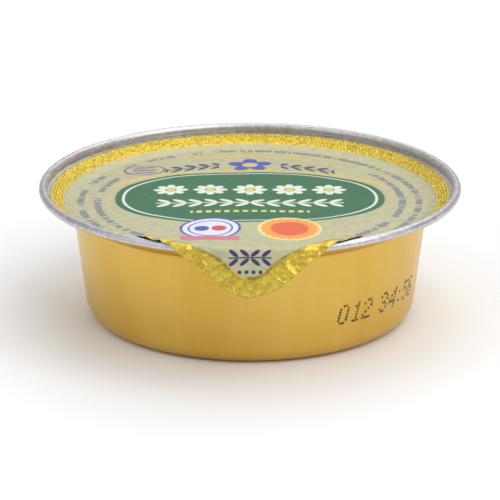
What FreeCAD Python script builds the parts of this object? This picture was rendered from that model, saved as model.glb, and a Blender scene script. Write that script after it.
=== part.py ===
"""Sealed round butter portion: a smooth-walled foil cup with a rolled rim and a peel-off foil lid.

Millimetres, +Z up. The origin is the middle of the base, which stands on z = 0, and the lid's
pull tab is folded down at the front, towards -Y. The sealed cup is one solid out to its skin.
Its flange climbs outwards to the rim, so the lid's middle lies below the rim.
"""

import FreeCAD, Part
import os
from math import acos, asin, atan2, cos, degrees, radians, sin, sqrt, tan

import Sketcher
from FreeCAD import Placement, Rotation, Vector

# Driving sizes, in millimetres and degrees.
SIZES = {
    # cup
    "flange_diameter": 58.0,      # over the rolled rim
    "pack_height": 18.5,          # base to the crown of the rolled rim
    "flange_width": 4.6,          # wall to the outside of the rolled rim
    "wall_draft": 7.0,            # lean of the wall from upright, in degrees
    "base_corner_radius": 2.4,
    "neck_radius": 0.7,           # rounding under the flange
    "flange_thickness": 0.25,
    "flange_slope": 25.0,         # climb of the flange from the wall out to the rim, in degrees
    "rim_bead_diameter": 1.2,
    # lid and its pull tab
    "lid_edge_gap": 0.3,          # lid's edge short of the rolled rim
    "lid_thickness": 0.2,
    "tab_width": 23.0,            # where the tab crosses the rim
    "tab_drop": 6.2,              # crown of the rim to the tab's tip
    "tab_tip_radius": 6.0,
    "tab_flare": 9.0,             # lean of the hanging tab from upright, in degrees
    "tab_ramp": 80.0,             # climb of the foil from the flange over the rim, in degrees
    "tab_rim_clearance": 0.15,    # foil clear of the rim
}

STRIP_OVERLAP = 1.0               # how far the tab's strip runs into the lid and past its own tip
SWEEP_MARGIN = 3.0                # degrees by which the strip stops short of the tab's tangent
TRIM_REACH = 6.0                  # how far the trimming sketches reach past the rim
TURN_TO_FRONT = -90.0             # from +X to -Y about the upright axis, in degrees

HORIZONTAL_AXIS = -1              # a sketch's own axes, and its origin as the first one's start
VERTICAL_AXIS = -2
ORIGIN = (HORIZONTAL_AXIS, 1)


def size(name):
    """Driving size by name."""
    return SIZES[name]


def cell(name):
    """The same size as an expression on the sheet."""
    return f"<<sizes>>.{name}"


def mouth_radius():
    """Wall's outside radius where it meets the flange."""
    return size("flange_diameter") / 2 - size("flange_width")


def lid_radius():
    """Radius of the round lid, which lies inside the rolled rim."""
    return size("flange_diameter") / 2 - size("rim_bead_diameter") - size("lid_edge_gap")


def slope():
    """Climb of the flange, in radians."""
    return radians(size("flange_slope"))


def seat_level():
    """Height of the flange's top face at the wall, where the lid's flat middle lies."""
    half = size("rim_bead_diameter") / 2
    below = (half - size("flange_thickness")) / cos(slope())
    return size("pack_height") - half - below - (size("flange_width") - half) * tan(slope())


def face_level(radius):
    """Height of the flange's top face at a radius."""
    return seat_level() + (radius - mouth_radius()) * tan(slope())


BEAD_RADIUS = f"({cell('rim_bead_diameter')} / 2)"
MOUTH_RADIUS = f"({cell('flange_diameter')} / 2 - {cell('flange_width')})"
LID_RADIUS = f"({cell('flange_diameter')} / 2 - {cell('rim_bead_diameter')} - {cell('lid_edge_gap')})"
SLOPE = f"({cell('flange_slope')} * 1deg)"
SEAT_LEVEL = (f"({cell('pack_height')} - {BEAD_RADIUS}"
              f" - ({BEAD_RADIUS} - {cell('flange_thickness')}) / cos({SLOPE})"
              f" - ({cell('flange_width')} - {BEAD_RADIUS}) * tan({SLOPE}))")


def make_sheet(doc):
    """Spreadsheet that holds every driving size under its own alias."""
    sheet = doc.addObject("Spreadsheet::Sheet", "sizes")
    sheet.Label = "sizes"
    for row, (alias, value) in enumerate(SIZES.items(), start=1):
        sheet.set(f"A{row}", alias)
        sheet.set(f"B{row}", str(value))
        sheet.setAlias(f"B{row}", alias)
    doc.recompute()


# ---------------------------------------------------------------- sketch helpers

def make_body(doc, label):
    """Empty PartDesign body under its own label."""
    body = doc.addObject("PartDesign::Body", label)
    body.Label = label
    body.Placement = Placement(Vector(0, 0, 0), Rotation())
    return body


def origin_feature(body, role):
    """Origin plane or axis of a body, such as XZ_Plane or Z_Axis."""
    return next(item for item in body.Origin.OriginFeatures if item.Role == role)


def new_sketch(body, name, plane):
    """Sketch on one of the body's own origin planes."""
    sketch = body.newObject("Sketcher::SketchObject", name)
    sketch.AttachmentSupport = [(origin_feature(body, plane), "")]
    sketch.MapMode = "FlatFace"
    return sketch


def relate(sketch, kind, *elements):
    """Add a constraint that has no value, such as Tangent or Vertical."""
    sketch.addConstraint(Sketcher.Constraint(kind, *elements))


def bind(sketch, name, kind, elements, value, expression):
    """Add a named dimension to a sketch and tie it to the sheet."""
    number = sketch.addConstraint(Sketcher.Constraint(kind, *elements, value))
    sketch.renameConstraint(number, name)
    sketch.setExpression(f"Constraints.{name}", expression)


def join_loop(sketch, edges):
    """Join each straight edge's end to the start of the next, round a closed outline."""
    for edge, following in zip(edges, edges[1:] + edges[:1]):
        relate(sketch, "Coincident", edge, 2, following, 1)


def line(start, end):
    """Straight sketch edge."""
    return Part.LineSegment(Vector(*start, 0), Vector(*end, 0))


def circle(centre, radius):
    """Full round sketch edge."""
    return Part.Circle(Vector(*centre, 0), Vector(0, 0, 1), radius)


def arc(centre, radius, start, end):
    """Round sketch edge, anticlockwise between two angles in degrees."""
    return Part.ArcOfCircle(circle(centre, radius), radians(start), radians(end))


# ---------------------------------------------------------------- cup

def bead_centre():
    """Middle of the rolled rim's section, as radius and height."""
    half = size("rim_bead_diameter") / 2
    return size("flange_diameter") / 2 - half, size("pack_height") - half


def bind_bead_centre(sketch, edge, name):
    """Hold a round edge's centre at the middle of the rolled rim."""
    across, level = bead_centre()
    bind(sketch, f"{name}_across", "DistanceX", (*ORIGIN, edge, 3), across,
         f"({cell('flange_diameter')} - {cell('rim_bead_diameter')}) / 2")
    bind(sketch, f"{name}_level", "DistanceY", (*ORIGIN, edge, 3), level,
         f"{cell('pack_height')} - {BEAD_RADIUS}")


def wall_ends():
    """Where the wall meets the flange: height and radius; and its radius at the base, uncut."""
    under = seat_level() - size("flange_thickness") / cos(slope())
    mouth = mouth_radius()
    return under, mouth, mouth - under * tan(radians(size("wall_draft")))


def cup_section(body):
    """Half section of the filled cup on XZ: base, leaning wall, climbing flange, rim, flat middle."""
    sketch = new_sketch(body, "cup_section", "XZ_Plane")
    seat = seat_level()
    under, mouth, foot = wall_ends()
    bead_across, bead_level = bead_centre()
    bead_half = size("rim_bead_diameter") / 2
    below = bead_half - size("flange_thickness")
    turn_under = size("flange_slope") - 90
    turn_top = 360 + turn_under - degrees(acos(below / bead_half))

    def on_round(middle, radius, turn):
        """Point of a round at an angle in degrees."""
        return middle[0] + radius * cos(radians(turn)), middle[1] + radius * sin(radians(turn))

    neck_radius = size("neck_radius")
    turn_wall, turn_flange = 180 - size("wall_draft"), 90 + size("flange_slope")
    half_turn = radians(turn_wall - turn_flange) / 2
    neck_middle = on_round((mouth, under), neck_radius / cos(half_turn),
                           (turn_wall + turn_flange) / 2 - 180)

    base, wall, neck, flange, bead, face, top, axis = range(8)
    sketch.addGeometry([
        line((0, 0), (foot, 0)),
        line((foot, 0), on_round(neck_middle, neck_radius, turn_wall)),
        arc(neck_middle, neck_radius, turn_flange, turn_wall),
        line(on_round(neck_middle, neck_radius, turn_flange),
             on_round((bead_across, bead_level), bead_half, turn_under)),
        arc((bead_across, bead_level), bead_half, turn_under, turn_top),
        line(on_round((bead_across, bead_level), bead_half, turn_top), (mouth, seat)),
        line((mouth, seat), (0, seat)),
        line((0, seat), (0, 0)),
    ], False)
    corner = sketch.addGeometry(Part.Point(Vector(mouth, under, 0)), True)
    for first, second in ((bead, face), (face, top), (top, axis), (axis, base), (base, wall)):
        relate(sketch, "Coincident", first, 2, second, 1)
    relate(sketch, "Tangent", wall, 2, neck, 2)
    relate(sketch, "Tangent", neck, 1, flange, 1)
    relate(sketch, "Tangent", flange, 2, bead, 1)
    relate(sketch, "PointOnObject", corner, 1, wall)
    relate(sketch, "PointOnObject", corner, 1, flange)
    relate(sketch, "Coincident", base, 1, *ORIGIN)
    for level in (base, top):
        relate(sketch, "Horizontal", level)
    relate(sketch, "Vertical", axis)
    relate(sketch, "Parallel", flange, face)

    bind(sketch, "slope", "Angle", (flange,), slope(), SLOPE)
    bind(sketch, "thickness", "Distance", (face, 2, flange), size("flange_thickness"),
         cell("flange_thickness"))
    bind(sketch, "mouth", "DistanceX", (*ORIGIN, corner, 1), mouth, MOUTH_RADIUS)
    bind(sketch, "neck", "Radius", (neck,), neck_radius, cell("neck_radius"))
    bind(sketch, "seat", "DistanceX", (*ORIGIN, face, 2), mouth, MOUTH_RADIUS)
    bind(sketch, "foot", "DistanceX", (*ORIGIN, base, 2), foot,
         f"{MOUTH_RADIUS} - ({SEAT_LEVEL} - {cell('flange_thickness')} / cos({SLOPE}))"
         f" * tan({cell('wall_draft')})")
    bind(sketch, "bead", "Radius", (bead,), bead_half, BEAD_RADIUS)
    bind_bead_centre(sketch, bead, "bead")
    return sketch


def ring_edges(shape, radius, level):
    """Names of the round edges of a turned shape at a radius and a height."""
    names = []
    for number, edge in enumerate(shape.Edges, start=1):
        curve = edge.Curve
        if not isinstance(curve, Part.Circle):
            continue
        if abs(curve.Radius - radius) < 0.01 and abs(curve.Center.z - level) < 0.01:
            names.append(f"Edge{number}")
    return names


def round_ring(doc, body, base, name, place, alias):
    """Fillet the ring edge at a place, its radius and height, by a size of the sheet."""
    edges = ring_edges(base.Shape, *place)
    if not edges:
        raise RuntimeError(f"{name}: no ring edge at {place}")
    fillet = body.newObject("PartDesign::Fillet", name)
    fillet.Base = (base, edges)
    fillet.Radius = size(alias)
    fillet.setExpression("Radius", cell(alias))
    doc.recompute()
    return fillet


def make_cup(doc):
    """Cup, flange and rolled rim, filled up to the lid's flat middle."""
    body = make_body(doc, "cup")
    turned = body.newObject("PartDesign::Revolution", "cup_turned")
    turned.Profile = cup_section(body)
    turned.ReferenceAxis = (origin_feature(body, "Z_Axis"), [""])
    turned.Angle = 360
    doc.recompute()

    foot = wall_ends()[2]
    round_ring(doc, body, turned, "base_corner", (foot, 0), "base_corner_radius")
    return body


# ---------------------------------------------------------------- lid

def lid_section(body):
    """Half section of the round lid on XZ: flat in the middle, then up along the flange."""
    sketch = new_sketch(body, "lid_section", "XZ_Plane")
    seat, foil, edge = seat_level(), size("lid_thickness"), lid_radius()
    bend = mouth_radius()
    lean = (-foil * sin(slope()), foil * cos(slope()))
    turn = foil * tan(slope() / 2)

    under, under_slope, rim, face_slope, face, axis = range(6)
    sketch.addGeometry([
        line((0, seat), (bend, seat)),
        line((bend, seat), (edge, face_level(edge))),
        line((edge, face_level(edge)), (edge + lean[0], face_level(edge) + lean[1])),
        line((edge + lean[0], face_level(edge) + lean[1]), (bend - turn, seat + foil)),
        line((bend - turn, seat + foil), (0, seat + foil)),
        line((0, seat + foil), (0, seat)),
    ], False)
    join_loop(sketch, [under, under_slope, rim, face_slope, face, axis])
    for level in (under, face):
        relate(sketch, "Horizontal", level)
    relate(sketch, "Vertical", axis)
    relate(sketch, "Parallel", under_slope, face_slope)
    relate(sketch, "Perpendicular", under_slope, rim)
    relate(sketch, "PointOnObject", under, 1, VERTICAL_AXIS)

    bind(sketch, "seat", "DistanceY", (*ORIGIN, under, 1), seat, SEAT_LEVEL)
    bind(sketch, "foil", "DistanceY", (axis, 2, axis, 1), foil, cell("lid_thickness"))
    bind(sketch, "foil_slope", "Distance", (rim,), foil, cell("lid_thickness"))
    bind(sketch, "slope", "Angle", (under_slope,), slope(), SLOPE)
    bind(sketch, "bend", "DistanceX", (*ORIGIN, under, 2), bend, MOUTH_RADIUS)
    bind(sketch, "edge", "DistanceX", (*ORIGIN, under_slope, 2), edge, LID_RADIUS)
    return sketch


def add_round_lid(doc, body):
    """Turn the round lid about the upright axis."""
    turned = body.newObject("PartDesign::Revolution", "lid_turned")
    turned.Profile = lid_section(body)
    turned.ReferenceAxis = (origin_feature(body, "Z_Axis"), [""])
    turned.Angle = 360
    doc.recompute()


def tab_section(body):
    """Section of the tab: along the flange, up and over the rolled rim, then hanging outside."""
    sketch = new_sketch(body, "tab_section", "XZ_Plane")
    sketch.AttachmentOffset = Placement(Vector(0, 0, 0), Rotation(Vector(0, 1, 0), TURN_TO_FRONT))
    foil = size("lid_thickness")
    centre = bead_centre()
    inner = size("rim_bead_diameter") / 2 + size("tab_rim_clearance")
    outer = inner + foil
    ramp, flare = size("tab_ramp"), size("tab_flare")
    start = lid_radius() - STRIP_OVERLAP
    end_level = size("pack_height") - size("tab_drop") - STRIP_OVERLAP

    def touch(radius, angle):
        """Point of a circle about the bead."""
        return centre[0] + radius * cos(radians(angle)), centre[1] + radius * sin(radians(angle))

    def ramp_foot(radius, above):
        """Where the climb that touches a circle about the bead leaves a face parallel to the flange."""
        across, up = touch(radius, 90 + ramp)
        lift = above / cos(slope())
        run = (up - face_level(across) - lift) / (tan(radians(ramp)) - tan(slope()))
        return across - run, face_level(across - run) + lift

    def hang_end(radius):
        """Where the hanging side that touches a circle about the bead ends."""
        across, up = touch(radius, flare)
        return across + (up - end_level) * tan(radians(flare)), end_level

    first_in = (start, face_level(start))
    first_out = (start - foil * sin(slope()), face_level(start) + foil * cos(slope()))
    flat_in, ramp_in, bend_in, hang_in, end, hang_out, bend_out, ramp_out, flat_out, seam = range(10)
    sketch.addGeometry([
        line(first_in, ramp_foot(inner, 0)),
        line(ramp_foot(inner, 0), touch(inner, 90 + ramp)),
        arc(centre, inner, flare, 90 + ramp),
        line(touch(inner, flare), hang_end(inner)),
        line(hang_end(inner), hang_end(outer)),
        line(hang_end(outer), touch(outer, flare)),
        arc(centre, outer, flare, 90 + ramp),
        line(touch(outer, 90 + ramp), ramp_foot(outer, foil)),
        line(ramp_foot(outer, foil), first_out),
        line(first_out, first_in),
    ], False)
    for first, second in ((flat_in, ramp_in), (hang_in, end), (end, hang_out), (ramp_out, flat_out),
                          (flat_out, seam), (seam, flat_in)):
        relate(sketch, "Coincident", first, 2, second, 1)
    for bend, before, after in ((bend_in, (ramp_in, 2), (hang_in, 1)),
                                (bend_out, (ramp_out, 1), (hang_out, 2))):
        relate(sketch, "Tangent", *before, bend, 2)
        relate(sketch, "Tangent", bend, 1, *after)
    relate(sketch, "Coincident", bend_in, 3, bend_out, 3)
    relate(sketch, "Horizontal", end)
    relate(sketch, "Perpendicular", flat_in, seam)
    for first, second in ((flat_in, flat_out), (ramp_in, ramp_out), (hang_in, hang_out)):
        relate(sketch, "Parallel", first, second)

    bind(sketch, "level", "DistanceY", (*ORIGIN, flat_in, 1), first_in[1],
         f"{SEAT_LEVEL} + ({LID_RADIUS} - {STRIP_OVERLAP} - {MOUTH_RADIUS}) * tan({SLOPE})")
    bind(sketch, "slope", "Angle", (flat_in,), slope(), SLOPE)
    bind(sketch, "foil", "Distance", (seam,), foil, cell("lid_thickness"))
    bind(sketch, "start", "DistanceX", (*ORIGIN, flat_in, 1), start, f"{LID_RADIUS} - {STRIP_OVERLAP}")
    bind_bead_centre(sketch, bend_in, "bend")
    bind(sketch, "inner", "Radius", (bend_in,), inner, f"{BEAD_RADIUS} + {cell('tab_rim_clearance')}")
    bind(sketch, "outer", "Radius", (bend_out,), outer,
         f"{BEAD_RADIUS} + {cell('tab_rim_clearance')} + {cell('lid_thickness')}")
    bind(sketch, "ramp", "Angle", (ramp_in,), radians(ramp), f"{cell('tab_ramp')} * 1deg")
    bind(sketch, "flare", "Angle", (hang_in,), radians(flare - 90), f"({cell('tab_flare')} - 90) * 1deg")
    bind(sketch, "end", "DistanceY", (*ORIGIN, end, 1), end_level,
         f"{cell('pack_height')} - {cell('tab_drop')} - {STRIP_OVERLAP}")
    return sketch


def tab_tangent_turn():
    """Degrees from the front at which the tab's straight sides leave the round lid."""
    crossing = asin(size("tab_width") / size("flange_diameter"))
    inset = acos(2 * lid_radius() / size("flange_diameter"))
    return degrees(crossing + inset)


def add_strip(doc, body):
    """Turn the tab's section about the upright axis, as wide as its sides reach."""
    strip = body.newObject("PartDesign::Revolution", "tab_strip")
    strip.Profile = tab_section(body)
    strip.ReferenceAxis = (origin_feature(body, "Z_Axis"), [""])
    strip.Midplane = True
    strip.Angle = 2 * (tab_tangent_turn() - SWEEP_MARGIN)
    strip.setExpression("Angle", f"2 * (asin({cell('tab_width')} / {cell('flange_diameter')})"
                                 f" + acos(2 * {LID_RADIUS} / {cell('flange_diameter')})"
                                 f" - {SWEEP_MARGIN}deg)")
    doc.recompute()


def tab_sides(body):
    """Plan of what lies outside the tab's straight sides, which touch the round lid."""
    sketch = new_sketch(body, "tab_sides", "XY_Plane")
    rim_radius = size("flange_diameter") / 2
    half = size("tab_width") / 2
    crossing = (half, -sqrt(rim_radius ** 2 - half ** 2))
    slope = tan(radians(tab_tangent_turn()))
    outside = rim_radius + TRIM_REACH
    upper = (outside, crossing[1] + (outside - crossing[0]) * slope)
    lower = (crossing[0] - (outside + crossing[1]) / slope, -outside)

    lid_ring, rim_ring, mark = range(3)
    sketch.addGeometry([circle((0, 0), lid_radius()), circle((0, 0), rim_radius),
                        Part.Point(Vector(*crossing, 0))], True)
    right = [3, 4, 5]
    left = [6, 7, 8]
    for flip in (1, -1):
        corners = [(flip * across, along) for across, along in (upper, lower, (outside, -outside))]
        sketch.addGeometry([line(a, b) for a, b in zip(corners, corners[1:] + corners[:1])], False)
    for edges in (right, left):
        join_loop(sketch, edges)
    for first, second in zip(right, left):
        relate(sketch, "Symmetric", first, 1, second, 1, VERTICAL_AXIS)

    side, foot, flank = right
    relate(sketch, "Horizontal", foot)
    relate(sketch, "Vertical", flank)
    for ring in (lid_ring, rim_ring):
        relate(sketch, "Coincident", ring, 3, *ORIGIN)
    relate(sketch, "Tangent", side, lid_ring)
    relate(sketch, "PointOnObject", mark, 1, rim_ring)
    relate(sketch, "PointOnObject", mark, 1, side)
    bind(sketch, "lid", "Radius", (lid_ring,), lid_radius(), LID_RADIUS)
    bind(sketch, "rim", "Radius", (rim_ring,), rim_radius, f"{cell('flange_diameter')} / 2")
    bind(sketch, "crossing", "DistanceX", (*ORIGIN, mark, 1), half, f"{cell('tab_width')} / 2")
    outside_expression = f"{cell('flange_diameter')} / 2 + {TRIM_REACH}"
    bind(sketch, "flank", "DistanceX", (*ORIGIN, flank, 1), outside, outside_expression)
    bind(sketch, "foot", "DistanceY", (foot, 2, *ORIGIN), outside, outside_expression)
    return sketch


def tab_tip(body):
    """Front view of what lies outside the hanging tab: straight sides that meet in a round tip.

    It stands between the lid's edge and the rim, so that the cut leaves the round lid whole.
    """
    sketch = new_sketch(body, "tab_tip", "XZ_Plane")
    half, radius = size("tab_width") / 2, size("tab_tip_radius")
    stand = (sqrt((size("flange_diameter") / 2) ** 2 - half ** 2) + sqrt(lid_radius() ** 2 - half ** 2)) / 2
    sketch.AttachmentOffset = Placement(Vector(0, 0, stand), Rotation())
    sketch.setExpression("AttachmentOffset.Base.z",
                         f"(sqrt(({cell('flange_diameter')} / 2) ^ 2 - ({cell('tab_width')} / 2) ^ 2)"
                         f" + sqrt({LID_RADIUS} ^ 2 - ({cell('tab_width')} / 2) ^ 2)) / 2")
    shoulder = size("pack_height") - size("rim_bead_diameter")
    tip = size("pack_height") - size("tab_drop")
    outside = size("flange_diameter") / 2 + TRIM_REACH
    bottom = tip - TRIM_REACH
    rise = shoulder - (tip + radius)
    turn = atan2(rise, half) - acos(radius / sqrt(half ** 2 + rise ** 2))
    touch = (radius * cos(turn), tip + radius + radius * sin(turn))

    top_left, side_left, round_tip, side_right, top_right, flank_right, floor, flank_left = range(8)
    sketch.addGeometry([
        line((-outside, shoulder), (-half, shoulder)),
        line((-half, shoulder), (-touch[0], touch[1])),
        arc((0, tip + radius), radius, 180 - degrees(turn), 360 + degrees(turn)),
        line(touch, (half, shoulder)),
        line((half, shoulder), (outside, shoulder)),
        line((outside, shoulder), (outside, bottom)),
        line((outside, bottom), (-outside, bottom)),
        line((-outside, bottom), (-outside, shoulder)),
    ], False)
    for first, second in ((top_left, side_left), (side_right, top_right), (top_right, flank_right),
                          (flank_right, floor), (floor, flank_left), (flank_left, top_left)):
        relate(sketch, "Coincident", first, 2, second, 1)
    relate(sketch, "Tangent", side_left, 2, round_tip, 1)
    relate(sketch, "Tangent", round_tip, 2, side_right, 1)
    for level in (top_left, top_right):
        relate(sketch, "Horizontal", level)
    for flank in (flank_right, flank_left):
        relate(sketch, "Vertical", flank)
    relate(sketch, "Symmetric", side_left, 1, side_right, 2, VERTICAL_AXIS)
    relate(sketch, "Symmetric", floor, 1, floor, 2, VERTICAL_AXIS)
    relate(sketch, "PointOnObject", round_tip, 3, VERTICAL_AXIS)

    bind(sketch, "half_width", "DistanceX", (*ORIGIN, side_right, 2), half, f"{cell('tab_width')} / 2")
    bind(sketch, "shoulder", "DistanceY", (*ORIGIN, side_right, 2), shoulder,
         f"{cell('pack_height')} - {cell('rim_bead_diameter')}")
    bind(sketch, "tip_radius", "Radius", (round_tip,), radius, cell("tab_tip_radius"))
    bind(sketch, "tip_centre", "DistanceY", (*ORIGIN, round_tip, 3), tip + radius,
         f"{cell('pack_height')} - {cell('tab_drop')} + {cell('tab_tip_radius')}")
    bind(sketch, "outside", "DistanceX", (*ORIGIN, floor, 1), outside,
         f"{cell('flange_diameter')} / 2 + {TRIM_REACH}")
    bind(sketch, "bottom", "DistanceY", (floor, 1, side_right, 2), shoulder - bottom,
         f"{cell('tab_drop')} - {cell('rim_bead_diameter')} + {TRIM_REACH}")
    return sketch


def cut_away(doc, body, sketch, name, both_ways):
    """Pocket right through the lid, both ways or only towards the front."""
    before = body.Shape.Volume
    pocket = body.newObject("PartDesign::Pocket", name)
    pocket.Profile = sketch
    pocket.Type = "ThroughAll"
    pocket.Midplane = both_ways
    pocket.Reversed = not both_ways
    doc.recompute()
    if not body.Shape.Volume < before:
        raise RuntimeError(f"{name} cut nothing")


def make_lid(doc):
    """Peel-off foil lid with its pull tab bent down over the rim."""
    body = make_body(doc, "lid")
    add_round_lid(doc, body)
    add_strip(doc, body)
    cut_away(doc, body, tab_sides(body), "tab_sides_cut", True)
    cut_away(doc, body, tab_tip(body), "tab_tip_cut", False)
    return body


# ---------------------------------------------------------------- build and write

def check(doc, pieces):
    """Stop if any object failed to recompute or any piece is not one valid solid."""
    for item in doc.Objects:
        if {"Invalid", "Error"} & set(item.State):
            raise RuntimeError(f"{item.Name} failed: {item.State}")
    for piece in pieces:
        shape = piece.Shape
        if shape.isNull() or not shape.isValid() or len(shape.Solids) != 1:
            raise RuntimeError(f"{piece.Label} is not one valid solid")


def main():
    """Build the document and write one STEP file for each piece."""
    doc = FreeCAD.newDocument("butter_portion")
    make_sheet(doc)
    pieces = [make_cup(doc), make_lid(doc)]
    doc.recompute()
    check(doc, pieces)

    os.makedirs("parts", exist_ok=True)
    for piece in pieces:
        piece.Shape.exportStep(f"parts/{piece.Label}.step")
        box = piece.Shape.BoundBox
        print(f"{piece.Label}: {piece.Shape.Volume:.1f} mm3, x {box.XMin:.2f}..{box.XMax:.2f}, "
              f"y {box.YMin:.2f}..{box.YMax:.2f}, z {box.ZMin:.2f}..{box.ZMax:.2f}")


main()
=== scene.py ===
"""Looks of a sealed round butter portion: gold foil cup, rolled rim and printed peel-off lid.

Metres, +Z up. The cup stands on z = 0 about the upright axis, and the lid's pull tab is folded
down at the front, towards -Y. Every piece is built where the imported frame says.
"""

import logging
import math
from dataclasses import dataclass, field
from enum import Enum
from typing import Any, Callable, Union

import bpy
import numpy as np
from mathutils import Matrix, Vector, noise


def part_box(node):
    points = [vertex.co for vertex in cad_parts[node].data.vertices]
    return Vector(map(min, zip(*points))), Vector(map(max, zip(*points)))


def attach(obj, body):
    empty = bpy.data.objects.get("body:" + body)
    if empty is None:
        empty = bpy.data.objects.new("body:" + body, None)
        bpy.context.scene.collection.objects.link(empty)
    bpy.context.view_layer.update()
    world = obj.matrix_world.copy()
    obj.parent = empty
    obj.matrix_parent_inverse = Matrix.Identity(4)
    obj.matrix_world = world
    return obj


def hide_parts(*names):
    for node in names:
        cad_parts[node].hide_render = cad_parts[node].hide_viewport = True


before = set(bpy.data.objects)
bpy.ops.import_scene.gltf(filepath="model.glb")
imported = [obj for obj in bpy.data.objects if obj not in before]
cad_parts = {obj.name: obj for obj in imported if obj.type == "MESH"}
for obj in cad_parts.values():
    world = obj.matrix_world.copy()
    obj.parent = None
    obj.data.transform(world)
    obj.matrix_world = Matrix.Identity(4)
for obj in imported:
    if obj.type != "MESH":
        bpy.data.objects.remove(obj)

LOG = logging.getLogger("butter_portion")
MM = 0.001
FLAT_SPAN = 0.1                # metres of flat foil that the print map covers, edge to edge
PRINT_MAP = "flat_print"

Colour = tuple[float, float, float]
Band = tuple[float, float]     # the two ends of a ramp or a line
Number = Union[float, "Value"]


class Node(str, Enum):
    """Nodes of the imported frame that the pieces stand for."""

    CUP = "cup"
    LID = "lid"


class Slot(str, Enum):
    """Material slots of the record."""

    CUP_FOIL = "cup_foil"
    LID_FOIL = "lid_foil"


def srgb(red: int, green: int, blue: int) -> Colour:
    """Linear colour from a printer's 0 to 255 values.

    Args:
        red: Red from 0 to 255.
        green: Green from 0 to 255.
        blue: Blue from 0 to 255.

    Returns:
        The colour in linear light, as the sockets take it.
    """
    def linear(value: int) -> float:
        """One channel in linear light."""
        part = value / 255
        return part / 12.92 if part <= 0.04045 else ((part + 0.055) / 1.055) ** 2.4

    return linear(red), linear(green), linear(blue)


# ---------------------------------------------------------------- node maths


class Value:
    """A number in a node tree, so that node maths reads as a Python expression."""

    def __init__(self, tree: "Tree", socket: bpy.types.NodeSocket) -> None:
        """Wrap an output socket.

        Args:
            tree: The tree that the socket belongs to.
            socket: The output socket that carries the number.
        """
        self.tree = tree
        self.socket = socket

    def __add__(self, other: Number) -> "Value":
        """Sum."""
        return self.tree.math("ADD", self, other)

    def __radd__(self, other: Number) -> "Value":
        """Sum with a number on the left."""
        return self.tree.math("ADD", other, self)

    def __sub__(self, other: Number) -> "Value":
        """Difference."""
        return self.tree.math("SUBTRACT", self, other)

    def __rsub__(self, other: Number) -> "Value":
        """Difference from a number on the left."""
        return self.tree.math("SUBTRACT", other, self)

    def __mul__(self, other: Number) -> "Value":
        """Product."""
        return self.tree.math("MULTIPLY", self, other)

    def __rmul__(self, other: Number) -> "Value":
        """Product with a number on the left."""
        return self.tree.math("MULTIPLY", other, self)

    def __truediv__(self, other: Number) -> "Value":
        """Quotient."""
        return self.tree.math("DIVIDE", self, other)

    def __rtruediv__(self, other: Number) -> "Value":
        """A number on the left over this one."""
        return self.tree.math("DIVIDE", other, self)

    def __pow__(self, power: Number) -> "Value":
        """Power."""
        return self.tree.math("POWER", self, power)

    def __rpow__(self, base: Number) -> "Value":
        """A number on the left to the power of this one."""
        return self.tree.math("POWER", base, self)

    def __abs__(self) -> "Value":
        """Size without its sign."""
        return self.tree.math("ABSOLUTE", self)

    def __neg__(self) -> "Value":
        """Opposite."""
        return self.tree.math("MULTIPLY", self, -1.0)

    def floor(self) -> "Value":
        """Whole number below."""
        return self.tree.math("FLOOR", self)

    def within(self) -> "Value":
        """Part above the whole number below."""
        return self.tree.math("FRACT", self)

    def below(self, edge: float, softness: float) -> "Value":
        """1 where this is under an edge and 0 above it, with a soft step.

        Args:
            edge: Where the step is half way.
            softness: Width of the step.

        Returns:
            The mask.
        """
        return self.tree.step(self, edge + softness / 2, edge - softness / 2)

    def above(self, edge: float, softness: float) -> "Value":
        """1 where this is over an edge and 0 under it, with a soft step.

        Args:
            edge: Where the step is half way.
            softness: Width of the step.

        Returns:
            The mask.
        """
        return self.tree.step(self, edge - softness / 2, edge + softness / 2)


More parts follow.
